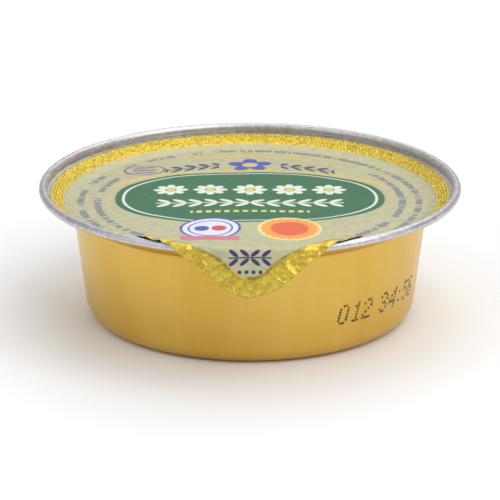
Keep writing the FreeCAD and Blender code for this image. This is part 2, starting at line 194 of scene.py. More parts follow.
class Tree:
    """A shader or geometry node tree that is written as expressions."""

    def __init__(self, tree: bpy.types.NodeTree) -> None:
        """Take over an empty tree.

        Args:
            tree: The tree to fill.
        """
        self.tree = tree

    def node(self, kind: str, settings: dict[str, Any] | None = None,
             sockets: dict[Any, Any] | None = None) -> bpy.types.Node:
        """Add any node.

        Args:
            kind: The node's type.
            settings: Its properties, set before its sockets.
            sockets: Values or links by socket name or number.

        Returns:
            The node.
        """
        made = self.tree.nodes.new(kind)
        for name, value in (settings or {}).items():
            setattr(made, name, value)
        for key, value in (sockets or {}).items():
            self.feed(made.inputs[key], value)
        return made

    def feed(self, target: bpy.types.NodeSocket, value: Any) -> None:
        """Link a socket or set its value.

        Args:
            target: The input socket.
            value: A Value, an output socket, or a plain number, colour or vector.
        """
        if isinstance(value, Value):
            value = value.socket
        if isinstance(value, bpy.types.NodeSocket):
            self.tree.links.new(value, target)
        elif isinstance(value, tuple) and len(value) == 3 and target.type == "RGBA":
            target.default_value = (*value, 1.0)
        else:
            target.default_value = value

    def value(self, node: bpy.types.Node, output: Any = 0) -> Value:
        """One of a node's outputs as a number."""
        return Value(self, node.outputs[output])

    def math(self, operation: str, *operands: Number) -> Value:
        """Maths node on numbers."""
        sockets = dict(enumerate(operands))
        return self.value(self.node("ShaderNodeMath", {"operation": operation}, sockets))

    def less(self, left: Number, right: Number) -> Value:
        """1 where left is less than right, 0 elsewhere."""
        return self.math("LESS_THAN", left, right)

    def step(self, number: Value, start: float, end: float) -> Value:
        """0 at start and 1 at end, clamped beyond both."""
        sockets = {"Value": number, "From Min": start, "From Max": end, "To Min": 0.0, "To Max": 1.0}
        return self.value(self.node("ShaderNodeMapRange", {"clamp": True}, sockets))

    def length(self, across: Number, along: Number) -> Value:
        """Distance of a point from the origin."""
        return self.math("SQRT", across * across + along * along)

    def split(self, vector: bpy.types.NodeSocket) -> tuple[Value, Value, Value]:
        """The three parts of a vector."""
        parts = self.node("ShaderNodeSeparateXYZ", None, {0: vector})
        return self.value(parts, 0), self.value(parts, 1), self.value(parts, 2)

    def join(self, across: Number, along: Number, up: Number) -> bpy.types.NodeSocket:
        """A vector from three numbers."""
        return self.node("ShaderNodeCombineXYZ", None, {0: across, 1: along, 2: up}).outputs[0]

    def blend(self, mask: Number, under: Any, over: Any) -> bpy.types.NodeSocket:
        """Colour under a mask's 0 and over its 1."""
        mixed = self.node("ShaderNodeMix", {"data_type": "RGBA"}, {0: mask, 6: under, 7: over})
        return mixed.outputs[2]

    def chance(self, cell: Number) -> Value:
        """Random number from 0 to 1 for each whole number."""
        found = self.node("ShaderNodeTexWhiteNoise", {"noise_dimensions": "1D"}, {"W": cell})
        return self.value(found, "Value")

    def cloud(self, vector: bpy.types.NodeSocket, scale: float, detail: float = 2.0) -> Value:
        """Smooth noise about one half."""
        sockets = {"Vector": vector, "Scale": scale, "Detail": detail}
        return self.value(self.node("ShaderNodeTexNoise", None, sockets), 0)


class Surface(Tree):
    """Shader tree of one material, ending in one Principled shader."""

    def __init__(self, name: str) -> None:
        """Make a material with an empty tree.

        Args:
            name: Name of the material.
        """
        self.material = bpy.data.materials.new(name)
        self.material.use_nodes = True
        self.material.node_tree.nodes.clear()
        super().__init__(self.material.node_tree)

    def place(self) -> tuple[Value, Value, Value]:
        """Object coordinates.

        Returns:
            The three parts, in millimetres.
        """
        where = self.node("ShaderNodeTexCoord").outputs["Object"]
        across, along, up = self.split(where)
        return across / MM, along / MM, up / MM

    def finish(self, sockets: dict[str, Any], bump: Number | None = None,
               depth: float = 0.0) -> bpy.types.Material:
        """End the tree in a Principled shader.

        Args:
            sockets: Values or links of the shader's sockets.
            bump: Height of fine relief, in units of depth.
            depth: Real depth of the relief in metres for a height of 1.

        Returns:
            The material.
        """
        if bump is not None:
            relief = self.node("ShaderNodeBump", None, {"Height": bump, "Distance": depth})
            sockets = {**sockets, "Normal": relief.outputs[0]}
        shader = self.node("ShaderNodeBsdfPrincipled", None, sockets)
        self.node("ShaderNodeOutputMaterial", None, {0: shader.outputs[0]})
        return self.material


# ---------------------------------------------------------------- finishes


@dataclass(frozen=True)
class GoldLacquer:
    """Satin gold lacquer on drawn foil, with faint upright draw marks."""

    tint: Colour = srgb(220, 184, 94)
    deep_tint: Colour = srgb(211, 172, 79)
    smooth: float = 0.26
    rough: float = 0.36
    mark_depth: float = 0.0005 * MM
    marks_around: float = 9.0
    stains_around: float = 2.4
    marks_share: float = 0.14      # part of the marks in the shade, the rest is broad stains

    def round_wall(self, made: Surface, around: float, upward: float) -> bpy.types.NodeSocket:
        """Place round the wall for a noise that is drawn out upwards.

        Args:
            made: The surface to add the nodes to.
            around: Radius of the round that the noise is read on.
            upward: How much the noise changes for each millimetre of height.

        Returns:
            The place as a vector.
        """
        across, along, up = made.place()
        radius = made.length(across, along)
        return made.join(across / radius * around, along / radius * around, up * upward)

    def material(self) -> bpy.types.Material:
        """Build the finish.

        Returns:
            The material.
        """
        made = Surface("gold_lacquer")
        marks = made.cloud(self.round_wall(made, self.marks_around, 0.003), 3.0, 0.0)
        stains = made.cloud(self.round_wall(made, self.stains_around, 0.03), 1.0)
        shade = made.step(marks * self.marks_share + stains * (1 - self.marks_share), 0.36, 0.64)
        tint = made.blend(shade, self.deep_tint, self.tint)
        roughness = made.step(marks, 0.3, 0.7) * (self.rough - self.smooth) + self.smooth
        sockets = {"Base Color": tint, "Metallic": 1.0, "Roughness": roughness}
        return made.finish(sockets, marks, self.mark_depth)


@dataclass(frozen=True)
class BareFoil:
    """Bare satin aluminium of the flange, its rolled rim and the lid's underside."""

    tint: Colour = srgb(212, 210, 213)
    dull_tint: Colour = srgb(190, 188, 188)
    smooth: float = 0.34
    rough: float = 0.48
    grain_scale: float = 1.4
    grain_depth: float = 0.02 * MM

    def material(self) -> bpy.types.Material:
        """Build the finish.

        Returns:
            The material.
        """
        made = Surface("bare_foil")
        grain = made.cloud(made.join(*made.place()), self.grain_scale, 3.0)
        roughness = made.step(grain, 0.3, 0.7) * (self.rough - self.smooth) + self.smooth
        tint = made.blend(made.step(grain, 0.35, 0.65), self.dull_tint, self.tint)
        sockets = {"Base Color": tint, "Metallic": 1.0, "Roughness": roughness}
        return made.finish(sockets, grain, self.grain_depth)


@dataclass(frozen=True)
class DotInk:
    """Dark brown ink of the dotted code."""

    tint: Colour = srgb(66, 46, 18)
    thin_tint: Colour = srgb(92, 66, 26)
    patch_scale: float = 2.0

    def material(self) -> bpy.types.Material:
        """Build the finish.

        Returns:
            The material.
        """
        made = Surface("dot_ink")
        patchy = made.step(made.cloud(made.join(*made.place()), self.patch_scale), 0.3, 0.7)
        tint = made.blend(patchy, self.tint, self.thin_tint)
        return made.finish({"Base Color": tint, "Roughness": 0.5})


@dataclass(frozen=True)
class Outline:
    """Flat cut of the lid foil, in millimetres: a round lid and a tab with a round tip.

    The tab's straight sides touch both rounds. Distances along the tab are positive towards it.
    """

    lid: float
    tip: float
    reach: float

    @property
    def slope(self) -> tuple[float, float]:
        """Outward direction of a straight side, as its parts across and along the tab."""
        along = (self.lid - self.tip) / self.reach
        return math.sqrt(1 - along * along), along

    def edge(self, turn: float) -> float:
        """Distance from the lid's middle to the cut.

        Args:
            turn: Angle from the tab's middle line, in radians.

        Returns:
            The distance, in millimetres.
        """
        across, along = self.slope
        turn = abs(turn)
        if turn >= math.atan2(across, along):
            return self.lid
        if turn > math.atan2(self.tip * across, self.reach + self.tip * along):
            return self.lid / (across * math.sin(turn) + along * math.cos(turn))
        chord = self.tip ** 2 - (self.reach * math.sin(turn)) ** 2
        return self.reach * math.cos(turn) + math.sqrt(max(chord, 0.0))

    def inset(self, across: Any, along: Any, length: Callable[[Any, Any], Any],
              less: Callable[[Any, Any], Any]) -> Any:
        """Distance outside the cut, negative inside, for arrays or node values.

        Args:
            across: Place across the tab, in millimetres.
            along: Place towards the tab, in millimetres.
            length: Length of a pair of such numbers.
            less: Whether one such number is less than another.

        Returns:
            The distance, in millimetres.
        """
        side_across, side_along = self.slope
        across = abs(across)
        run = side_across * along - side_along * across
        to_lid = length(across, along) - self.lid
        to_tip = length(across, along - self.reach) - self.tip
        to_side = side_across * across + side_along * along - self.lid
        on_lid = less(run, 0.0)
        on_tip = less(side_across * self.reach, run)
        return to_side + on_lid * (to_lid - to_side) + on_tip * (to_tip - to_side)

    def run(self, across: np.ndarray, along: np.ndarray) -> np.ndarray:
        """Distance along the tab's cut from the middle of its tip to the point nearest a place.

        Args:
            across: Place across the tab, in millimetres.
            along: Place towards the tab, in millimetres.

        Returns:
            The distance in millimetres, negative on the left.
        """
        side_across, side_along = self.slope
        straight = side_across * self.reach
        side = side_across * along - side_along * np.abs(across)
        round_tip = self.tip * math.atan2(side_across, side_along)
        on_tip = self.tip * np.arctan2(np.abs(across), along - self.reach)
        return np.sign(across) * np.where(side > straight, on_tip, round_tip + straight - side)


class Sheet:
    """Flat foil that is being printed: where each point lies, and the colours laid down so far.

    Places are in millimetres from the lid's middle, with +along away from the tab.
    """

    def __init__(self, made: Surface, shift: float) -> None:
        """Read the print map.

        Args:
            made: The surface to add the nodes to.
            shift: How far towards the tab the middle of the round print lies.
        """
        u, v, _ = made.split(made.node("ShaderNodeUVMap", {"uv_map": PRINT_MAP}).outputs[0])
        self.made = made
        self.across = (u - 0.5) * (FLAT_SPAN / MM)
        self.along = (v - 0.5) * (FLAT_SPAN / MM)
        self.point = made.join(self.across, self.along, 0.0)
        self.radius = made.length(self.across, self.along + shift)
        self.turn = made.math("ARCTAN2", self.across, self.along)
        self.colour: Any = None

    def lay(self, mask: Number, ink: Any) -> None:
        """Lay an ink over the colours so far where a mask is 1."""
        self.colour = self.made.blend(mask, self.colour, ink)

    def off(self, across: float, along: float) -> Value:
        """Distance from a place on the sheet."""
        return self.made.length(self.across - across, self.along - along)

    def cloud(self, scale: float) -> Value:
        """Smooth noise over the sheet."""
        return self.made.cloud(self.point, scale, 3.0)


@dataclass(frozen=True)
class LidPrint:
    """Printed lid foil, in millimetres on the flat foil, with +along away from the tab.

    A pale ground inside a gold edge, a green field with a row of daisies over a leaf spray, small
    seals, a blue blossom between two leaf sprays, and rings of strokes as dense as small print.
    """

    outline: Outline
    ground: Colour = srgb(193, 190, 150)
    ground_dull: Colour = srgb(180, 177, 138)
    gold: Colour = srgb(222, 198, 84)
    gold_deep: Colour = srgb(198, 168, 56)
    # dark olive of the painted shade in the pressed seam along the tab's gold edge
    painted_crease_shade: Colour = srgb(128, 112, 40)
    green: Colour = srgb(36, 104, 66)
    pale: Colour = srgb(226, 234, 216)
    yellow: Colour = srgb(226, 214, 120)
    ochre: Colour = srgb(222, 190, 92)
    ink: Colour = srgb(90, 90, 130)
    navy: Colour = srgb(52, 54, 104)
    blue: Colour = srgb(70, 82, 170)
    seal_edge: Colour = srgb(232, 216, 150)
    orange: Colour = srgb(240, 160, 62)
    vermilion: Colour = srgb(226, 96, 50)
    badge_white: Colour = srgb(226, 226, 236)
    badge_red: Colour = srgb(206, 74, 74)
    rose: Colour = srgb(206, 120, 140)
    gold_width: float = 1.8
    tab_gold_extra: float = 1.15
    print_shift: float = 0.35
    soft: float = 0.12             # width of a printed edge
    outer_ring: float = 23.3       # radii of the two rings of strokes
    inner_ring: float = 21.0
    inner_start: float = 0.95      # turn from the back where the inner ring starts, in radians
    ring_end: float = 2.95         # turn where both stop, at the tab
    arc_radius: float = 20.6
    arc_half: float = 0.5          # half the turn that the yellow arc takes
    stroke_pitch: float = 0.36
    word_pitch: float = 2.3
    stroke_height: float = 1.15
    stroke_half: float = 0.34      # half width of a stroke, in pitches
    stroke_least: float = 0.55     # height of the lowest stroke, as a share
    stroke_gaps: float = 0.16      # share of the strokes and of the words that are left out
    word_gaps: float = 0.14
    ring_cover: float = 0.92
    field_row: float = 0.4
    field_half: tuple[float, float] = (18.6, 11.4)
    field_squareness: float = 2.35
    back_line: Band = (1.14, 1.25)       # levels of the oval between which each line lies
    inner_line: Band = (0.84, 0.885)
    daisy_row: float = 3.6
    daisy_pitch: float = 5.5
    daisy_count: int = 5
    daisy_petals: int = 8
    daisy_eye: float = 0.78
    daisy_heart: float = 0.62
    spray_row: float = -2.6
    field_spray: tuple[float, float] = (12.9, 2.15)    # half length of a spray and its leaves' pitch
    bead_row: float = -6.4
    bead_half: tuple[float, float] = (8.1, 0.42)
    bead_pitch: float = 1.25
    blossom_row: float = 15.6
    blossom_petals: int = 5
    blossom_eye: float = 1.15
    blossom_heart: float = 0.7
    blossom_gap: float = 4.4       # half the room that the sprays beside it leave
    spray_bow: float = 0.022       # bend of those sprays, for each millimetre squared
    back_spray: tuple[float, float] = (12.0, 1.9)
    seal_place: tuple[float, float] = (5.3, -13.4)
    seal_radii: tuple[float, float, float] = (4.3, 3.8, 2.55)
    seal_scallops: float = 20.0
    scallop_depth: float = 0.14
    badge_place: tuple[float, float] = (-5.3, -13.0)
    badge_radii: tuple[float, float] = (4.1, 3.75)
    badge_line: Band = (2.8, 3.05)
    badge_dot: float = 1.0
    badge_dot_off: float = 1.15
    bar_row: float = -16.9
    bar_half: tuple[float, float] = (3.9, 0.85)
    oval_place: tuple[float, float] = (-15.0, 13.0)
    oval_half: tuple[float, float] = (3.0, 2.3)
    dash_pitch: float = 1.2
    dash_half: float = 1.7
    sprig_row: float = -30.0
    tab_sprig: tuple[float, float] = (2.75, 1.4)
    dot_row: float = -31.9
    dot_pitch: float = 0.9
    dot_radius: float = 0.26
    tab_row: float = -28.5         # where the gold edge grows wider, towards the tab's tip
    shade_line_inset: float = 0.15       # painted shade line along the pressed seam inside the gold's edge
    shade_line_half: float = 0.2
    shade_line_cover: float = 0.75
    pin_pitch: float = 9.6         # radians of the embossed pins' waves for each millimetre
    relief: float = 0.012 * MM

    def leaves(self, sheet: Sheet, along: Value, reach: float, pitch: float) -> Value:
        """Mask of a straight spray of paired leaves on a thin stem.

        Args:
            sheet: The sheet to print.
            along: Place off the stem.
            reach: Half the spray's length.
            pitch: Length of stem for each pair.

        Returns:
            The mask.
        """
        run = abs(sheet.across)
        off = abs(along)
        local = ((run / pitch).within() - 0.5) * pitch
        lean = math.radians(38)
        rise = off - pitch * 0.42
        length = local * math.cos(lean) + rise * math.sin(lean)
        width = rise * math.cos(lean) - local * math.sin(lean)
        leaf = sheet.made.length(length / (pitch * 0.52), width / (pitch * 0.19)).below(1.0, 0.16)
        stem = off.below(pitch * 0.07, self.soft)
        return sheet.made.math("MAXIMUM", leaf, stem) * run.below(reach, self.soft)

    def strokes(self, sheet: Sheet, ring: float, seed: float) -> Value:
        """Mask of short strokes round a ring, grouped as words are, that spell nothing.

        Args:
            sheet: The sheet to print.
            ring: Radius of the ring.
            seed: Picks the strokes and gaps.

        Returns:
            The mask.
        """
        run = sheet.turn * ring
        stroke = sheet.made.chance((run / self.stroke_pitch).floor() + seed)
        word = sheet.made.chance((run / self.word_pitch).floor() + seed + 71.0)
        body = abs((run / self.stroke_pitch).within() - 0.5).below(self.stroke_half, 0.2)
        tall = abs(sheet.radius - ring) / (stroke * (1 - self.stroke_least) + self.stroke_least)
        row = body * tall.below(self.stroke_height / 2, self.soft)
        return row * word.above(self.word_gaps, 0.01) * stroke.above(self.stroke_gaps, 0.01)

    def lay_rings(self, sheet: Sheet) -> None:
        """Lay two rings of strokes at the sides and front and one at the back.

        Args:
            sheet: The sheet to print.
        """
        outer = self.strokes(sheet, self.outer_ring, 3.0)
        turn = abs(sheet.turn)
        inner = self.strokes(sheet, self.inner_ring, 311.0) * turn.above(self.inner_start, 0.02)
        tab = turn.above(self.ring_end, 0.02)
        sheet.lay(sheet.made.math("MAXIMUM", outer, inner) * (1 - tab) * self.ring_cover, self.ink)

    def lay_field(self, sheet: Sheet) -> None:
        """Lay the green field: a wide squarish oval with a pale inner line under a yellow one.

        Args:
            sheet: The sheet to print.
        """
        wide, tall = self.field_half
        along = abs(sheet.along - self.field_row)
        oval = (abs(sheet.across) / wide) ** self.field_squareness + (along / tall) ** self.field_squareness
        low, high = self.back_line
        yellow_line = oval.above(low, 0.03) * oval.below(high, 0.03) * sheet.along.above(5.6, 2.0)
        sheet.lay(yellow_line, self.ochre)
        sheet.lay(oval.below(1.0, 0.03), self.green)
        low, high = self.inner_line
        sheet.lay(oval.above(low, 0.02) * oval.below(high, 0.02), self.pale)

    def lay_daisies(self, sheet: Sheet) -> None:
        """Lay the row of daisies on the field, over a leaf spray and a row of beads.

        Args:
            sheet: The sheet to print.
        """
        made = sheet.made
        along = sheet.along - self.daisy_row
        local = ((sheet.across / self.daisy_pitch + 0.5).within() - 0.5) * self.daisy_pitch
        radius = made.length(local, along)
        lobe = abs(made.math("COSINE", made.math("ARCTAN2", along, local) * (self.daisy_petals / 2)))
        petals = (radius / (lobe ** 0.6 * 1.15 + 1.25)).below(1.0, 0.1)
        petals = petals * radius.above(self.daisy_eye, self.soft)
        inside = abs(sheet.across).below(self.daisy_pitch * self.daisy_count / 2, self.soft)
        sheet.lay(petals * inside, self.pale)
        sheet.lay(radius.below(self.daisy_heart, self.soft) * inside, self.yellow)
        sheet.lay(self.leaves(sheet, sheet.along - self.spray_row, *self.field_spray), self.pale)
        beads = abs((sheet.across / self.bead_pitch).within() - 0.5).below(0.3, 0.1)
        wide, tall = self.bead_half
        beads = beads * abs(sheet.along - self.bead_row).below(tall, self.soft)
        sheet.lay(beads * abs(sheet.across).below(wide, self.soft), self.yellow)

    def lay_blossom(self, sheet: Sheet) -> None:
        """Lay the blossom between two navy sprays at the back, under a thin yellow arc.

        Args:
            sheet: The sheet to print.
        """
        made = sheet.made
        along = sheet.along - self.blossom_row
        radius = made.length(sheet.across, along)
        turn = made.math("ARCTAN2", sheet.across, along)
        lobe = abs(made.math("COSINE", turn * (self.blossom_petals / 2)))
        sprays = self.leaves(sheet, along + sheet.across * sheet.across * self.spray_bow, *self.back_spray)
        sheet.lay(sprays * abs(sheet.across).above(self.blossom_gap, self.soft), self.navy)
        sheet.lay((radius / (lobe * 1.5 + 1.7)).below(1.0, 0.1), self.blue)
        sheet.lay(radius.below(self.blossom_eye, self.soft), self.ground)
        sheet.lay(radius.below(self.blossom_heart, self.soft), self.ochre)
        arc = abs(sheet.radius - self.arc_radius).below(0.2, self.soft)
        sheet.lay(arc * abs(sheet.turn).below(self.arc_half, 0.2), self.ochre)

    def lay_seal(self, sheet: Sheet) -> None:
        """Lay the plain orange seal with its scalloped edge.

        Args:
            sheet: The sheet to print.
        """
        across, along = self.seal_place
        radius = sheet.off(across, along)
        turn = sheet.made.math("ARCTAN2", sheet.across - across, sheet.along - along)
        scallop = sheet.made.math("COSINE", turn * self.seal_scallops)
        rim, face, heart = self.seal_radii
        sheet.lay(radius.below(rim, self.soft), self.seal_edge)
        sheet.lay((radius - scallop * self.scallop_depth).below(face, self.soft), self.orange)
        sheet.lay(radius.below(heart, 0.3), self.vermilion)

    def lay_badge(self, sheet: Sheet) -> None:
        """Lay the plain white badge with a blue and a red dot, over a rose bar.

        Args:
            sheet: The sheet to print.
        """
        across, along = self.badge_place
        radius = sheet.off(across, along)
        side = sheet.across - across
        rim, face = self.badge_radii
        low, high = self.badge_line
        sheet.lay(radius.below(rim, self.soft), self.blue)
        sheet.lay(radius.below(face, self.soft), self.badge_white)
        sheet.lay(radius.above(low, self.soft) * radius.below(high, self.soft), self.blue)
        dots = sheet.made.length(abs(side) - self.badge_dot_off, sheet.along - along)
        dots = dots.below(self.badge_dot, self.soft)
        sheet.lay(dots * side.below(0.0, self.soft), self.blue)
        sheet.lay(dots * side.above(0.0, self.soft), self.badge_red)
        wide, tall = self.bar_half
        bar = abs(side).below(wide, self.soft) * abs(sheet.along - self.bar_row).below(tall, self.soft)
        sheet.lay(bar, self.rose)

    def lay_oval(self, sheet: Sheet) -> None:
        """Lay the small oval outline with bare dashes inside.

        Args:
            sheet: The sheet to print.
        """
        across, along = sheet.across - self.oval_place[0], sheet.along - self.oval_place[1]
        oval = sheet.made.length(across / self.oval_half[0], along / self.oval_half[1])
        sheet.lay(oval.above(0.9, 0.05) * oval.below(1.0, 0.05), self.ink)
        dashes = abs((along / self.dash_pitch + 0.5).within() - 0.5).below(0.2, 0.1)
        sheet.lay(dashes * abs(across).below(self.dash_half, self.soft) * oval.below(0.72, 0.05), self.ink)

    def lay_tab(self, sheet: Sheet) -> None:
        """Lay a navy sprig over a row of four dots on the tab.

        Args:
            sheet: The sheet to print.
        """
        pitch = self.dot_pitch
        sprig = self.leaves(sheet, sheet.along - self.sprig_row, *self.tab_sprig)
        dot = sheet.made.length((sheet.across / pitch).within() * pitch - pitch / 2,
                                sheet.along - self.dot_row)
        dots = dot.below(self.dot_radius, self.soft) * abs(sheet.across).below(pitch * 2, 0.02)
        sheet.lay(sheet.made.math("MAXIMUM", sprig, dots), self.navy)

    def lay_gold(self, sheet: Sheet) -> Value:
        """Lay the gold edge that follows the cut of the foil, with a broken dark line of painted shade
        along the pressed seam inside it on the tab.

        Args:
            sheet: The sheet to print.

        Returns:
            Mask of the gold.
        """
        made = sheet.made
        inset = self.outline.inset(sheet.across, -sheet.along - self.print_shift, made.length, made.less)
        on_tab = sheet.along.below(self.tab_row, 3.0)
        inward = inset + self.gold_width + on_tab * self.tab_gold_extra
        gold = inward.above(0.0, 0.25)
        sheet.lay(gold, made.blend(made.step(sheet.cloud(2.4), 0.35, 0.65), self.gold_deep, self.gold))
        # a broken dark line of painted shade where the tab's gold meets the ground, along the pressed seam
        shade_patches = sheet.cloud(0.7).above(0.46, 0.1)
        line = abs(inward - self.shade_line_inset).below(self.shade_line_half, 0.3)
        sheet.lay(line * on_tab * shade_patches * self.shade_line_cover, self.painted_crease_shade)
        return gold

    def material(self) -> bpy.types.Material:
        """Build the finish.

        Returns:
            The material.
        """
        made = Surface("printed_lid")
        sheet = Sheet(made, self.print_shift)
        mottle = sheet.cloud(0.9)
        sheet.colour = made.blend(made.step(mottle, 0.35, 0.65), self.ground_dull, self.ground)
        for lay in (self.lay_rings, self.lay_field, self.lay_daisies, self.lay_blossom, self.lay_seal,
                    self.lay_badge, self.lay_oval, self.lay_tab):
            lay(sheet)
        gold = self.lay_gold(sheet)
        roughness = gold * -0.08 + 0.4 + made.step(mottle, 0.3, 0.7) * 0.08
        pins = made.math("SINE", (sheet.across + sheet.along) * self.pin_pitch)
        pins = pins * made.math("SINE", (sheet.across - sheet.along) * self.pin_pitch)
        relief = pins * 0.5 + sheet.cloud(1.6) * 2.0
        sockets = {"Base Color": sheet.colour, "Metallic": gold * 0.6 + 0.18, "Roughness": roughness}
        return made.finish(sockets, relief, self.relief)


# ---------------------------------------------------------------- pieces


def new_piece(name: str, mesh: bpy.types.Mesh) -> bpy.types.Object:
    """Object at the origin for a finished mesh.

    Args:
        name: Name of the piece.
        mesh: Its mesh, in the row frame.

    Returns:
        The object, linked to the scene.
    """
    made = bpy.data.objects.new(name, mesh)
    bpy.context.scene.collection.objects.link(made)
    return made


def settle(piece: bpy.types.Object, node: Node | None) -> bpy.types.Object:
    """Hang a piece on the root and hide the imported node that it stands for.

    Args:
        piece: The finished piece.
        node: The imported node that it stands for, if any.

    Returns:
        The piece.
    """
    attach(piece, "root")
    if node is not None:
        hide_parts(node.value)
    LOG.info("%s: %d faces", piece.name, len(piece.data.polygons))
    return piece


def plain_mesh(piece: bpy.types.Object) -> None:
    """Turn the piece's modifiers into a plain mesh and remove them.

    Args:
        piece: The object.
    """
    evaluated = piece.evaluated_get(bpy.context.evaluated_depsgraph_get())
    mesh = bpy.data.meshes.new_from_object(evaluated)
    piece.modifiers.clear()
    piece.data = mesh
    mesh.name = piece.name


class Recipe(Tree):
    """Geometry node tree with named inputs, applied to a piece once and then removed."""

    def __init__(self, name: str, inputs: dict[str, Any]) -> None:
        """Make the tree's sockets.

        Args:
            name: Name of the tree.
            inputs: Value of each named input: a whole number, a number, a material or an object.
        """
        super().__init__(bpy.data.node_groups.new(name, "GeometryNodeTree"))
        self.inputs = inputs
        kinds = {int: "NodeSocketInt", float: "NodeSocketFloat", bpy.types.Material: "NodeSocketMaterial",
                 bpy.types.Object: "NodeSocketObject"}
        interface = self.tree.interface
        interface.new_socket("Geometry", in_out="INPUT", socket_type="NodeSocketGeometry")
        for label, value in inputs.items():
            interface.new_socket(label, in_out="INPUT", socket_type=kinds[type(value)])
        interface.new_socket("Geometry", in_out="OUTPUT", socket_type="NodeSocketGeometry")
        self.entry = self.node("NodeGroupInput")

    def given(self, label: str) -> Value:
        """A named input as a number."""
        return self.value(self.entry, label)

    def geometry(self) -> bpy.types.NodeSocket:
        """The piece's own mesh."""
        return self.entry.outputs["Geometry"]

    def position(self) -> bpy.types.NodeSocket:
        """Place of each point."""
        return self.node("GeometryNodeInputPosition").outputs[0]

    def spread(self, low: Any, high: Any) -> bpy.types.NodeSocket:
        """Random number or vector for each point, by the input named Seed.

        Args:
            low: The least, a number or a vector.
            high: The most, of the same kind.

        Returns:
            The number or vector.
        """
        if isinstance(low, tuple):
            made = self.node("FunctionNodeRandomValue", {"data_type": "FLOAT_VECTOR"},
                             {0: low, 1: high, "Seed": self.given("Seed")})
            return made.outputs[0]
        made = self.node("FunctionNodeRandomValue", {"data_type": "FLOAT"},
                         {2: low, 3: high, "Seed": self.given("Seed")})
        return made.outputs[1]

    def stand(self, points: bpy.types.NodeSocket, shape: bpy.types.NodeSocket,
              rotation: bpy.types.NodeSocket, scale: bpy.types.NodeSocket) -> bpy.types.NodeSocket:
        """Stand a shape on each point and make the copies real.

        Args:
            points: The points.
            shape: The shape.
            rotation: Turn of each copy.
            scale: Size of each copy.

        Returns:
            The copies' mesh.
        """
        placed = self.node("GeometryNodeInstanceOnPoints", None,
                           {"Points": points, "Instance": shape, "Rotation": rotation, "Scale": scale})
        return self.real(placed.outputs[0])

    def real(self, geometry: bpy.types.NodeSocket) -> bpy.types.NodeSocket:
        """The geometry with its instances made real."""
        return self.node("GeometryNodeRealizeInstances", None, {0: geometry}).outputs[0]

    def dress(self, geometry: bpy.types.NodeSocket, label: str, where: Any = True) -> bpy.types.NodeSocket:
        """The geometry in the finish of a named input, on the faces that are picked."""
        sockets = {"Geometry": geometry, "Selection": where, "Material": self.entry.outputs[label]}
        return self.node("GeometryNodeSetMaterial", None, sockets).outputs[0]

    def close(self, geometry: bpy.types.NodeSocket) -> None:
        """End the tree in its finished geometry."""
        self.node("NodeGroupOutput", None, {"Geometry": geometry})

    def run(self, piece: bpy.types.Object) -> None:
        """Give the piece the tree's result as a plain mesh.

        Args:
            piece: The object whose mesh the tree starts from.
        """
        modifier = piece.modifiers.new(self.tree.name, "NODES")
        modifier.node_group = self.tree
        for item in self.tree.interface.items_tree:
            if item.in_out == "INPUT" and item.name in self.inputs:
                modifier[item.identifier] = self.inputs[item.name]
        plain_mesh(piece)


@dataclass(frozen=True)
class Measures:
    """Sizes of the pack in millimetres, from the frame and a few of the pack's own."""

    rim: float
    crown: float
    lid: float
    tab_end: float
    bead: float = 0.6              # radius of the rolled rim's section
    flange_width: float = 4.6
    flange_thickness: float = 0.25
    flange_slope: float = math.radians(25)
    draft: float = math.radians(7)
    corner: float = 2.4
    neck: float = 0.7
    foil: float = 0.07

    @classmethod
    def from_frame(cls) -> "Measures":
        """Read the rim, the crown, the lid and the tab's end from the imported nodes.

        Returns:
            The sizes.
        """
        _, cup_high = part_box(Node.CUP.value)
        lid_low, lid_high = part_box(Node.LID.value)
        return cls(rim=cup_high[0] / MM, crown=cup_high[2] / MM, lid=lid_high[0] / MM,
                   tab_end=lid_low[2] / MM)

    @property
    def seat(self) -> float:
        """Height of the flange's top face at the wall, where the lid's flat middle lies."""
        below = (self.bead - self.flange_thickness) / math.cos(self.flange_slope)
        return self.crown - self.bead - below - (self.rim - self.bead - self.mouth) * self.climb

    @property
    def climb(self) -> float:
        """Rise of the flange for each millimetre outwards."""
        return math.tan(self.flange_slope)

    @property
    def underside(self) -> float:
        """Height at which the wall meets the flange's underside."""
        return self.seat - self.flange_thickness / math.cos(self.flange_slope)

    @property
    def mouth(self) -> float:
        """Radius of the wall where it meets the flange."""
        return self.rim - self.flange_width

    @property
    def bead_middle(self) -> tuple[float, float]:
        """Middle of the rolled rim's section: radius and height."""
        return self.rim - self.bead, self.crown - self.bead

    def wall_radius(self, height: float) -> float:
        """Radius of the straight wall at a height."""
        return self.mouth - (self.underside - height) * math.tan(self.draft)


def arc_points(middle: tuple[float, float], radius: float, start: float, end: float,
               count: int) -> list[tuple[float, float]]:
    """Points of an arc in a section.

    Args:
        middle: Centre of the arc.
        radius: Its radius.
        start: First angle, in radians from the outward direction.
        end: Last angle.
        count: Number of points.

    Returns:
        The points as radius and height.
    """
    turns = np.linspace(start, end, count)
    return [(middle[0] + radius * math.cos(turn), middle[1] + radius * math.sin(turn)) for turn in turns]


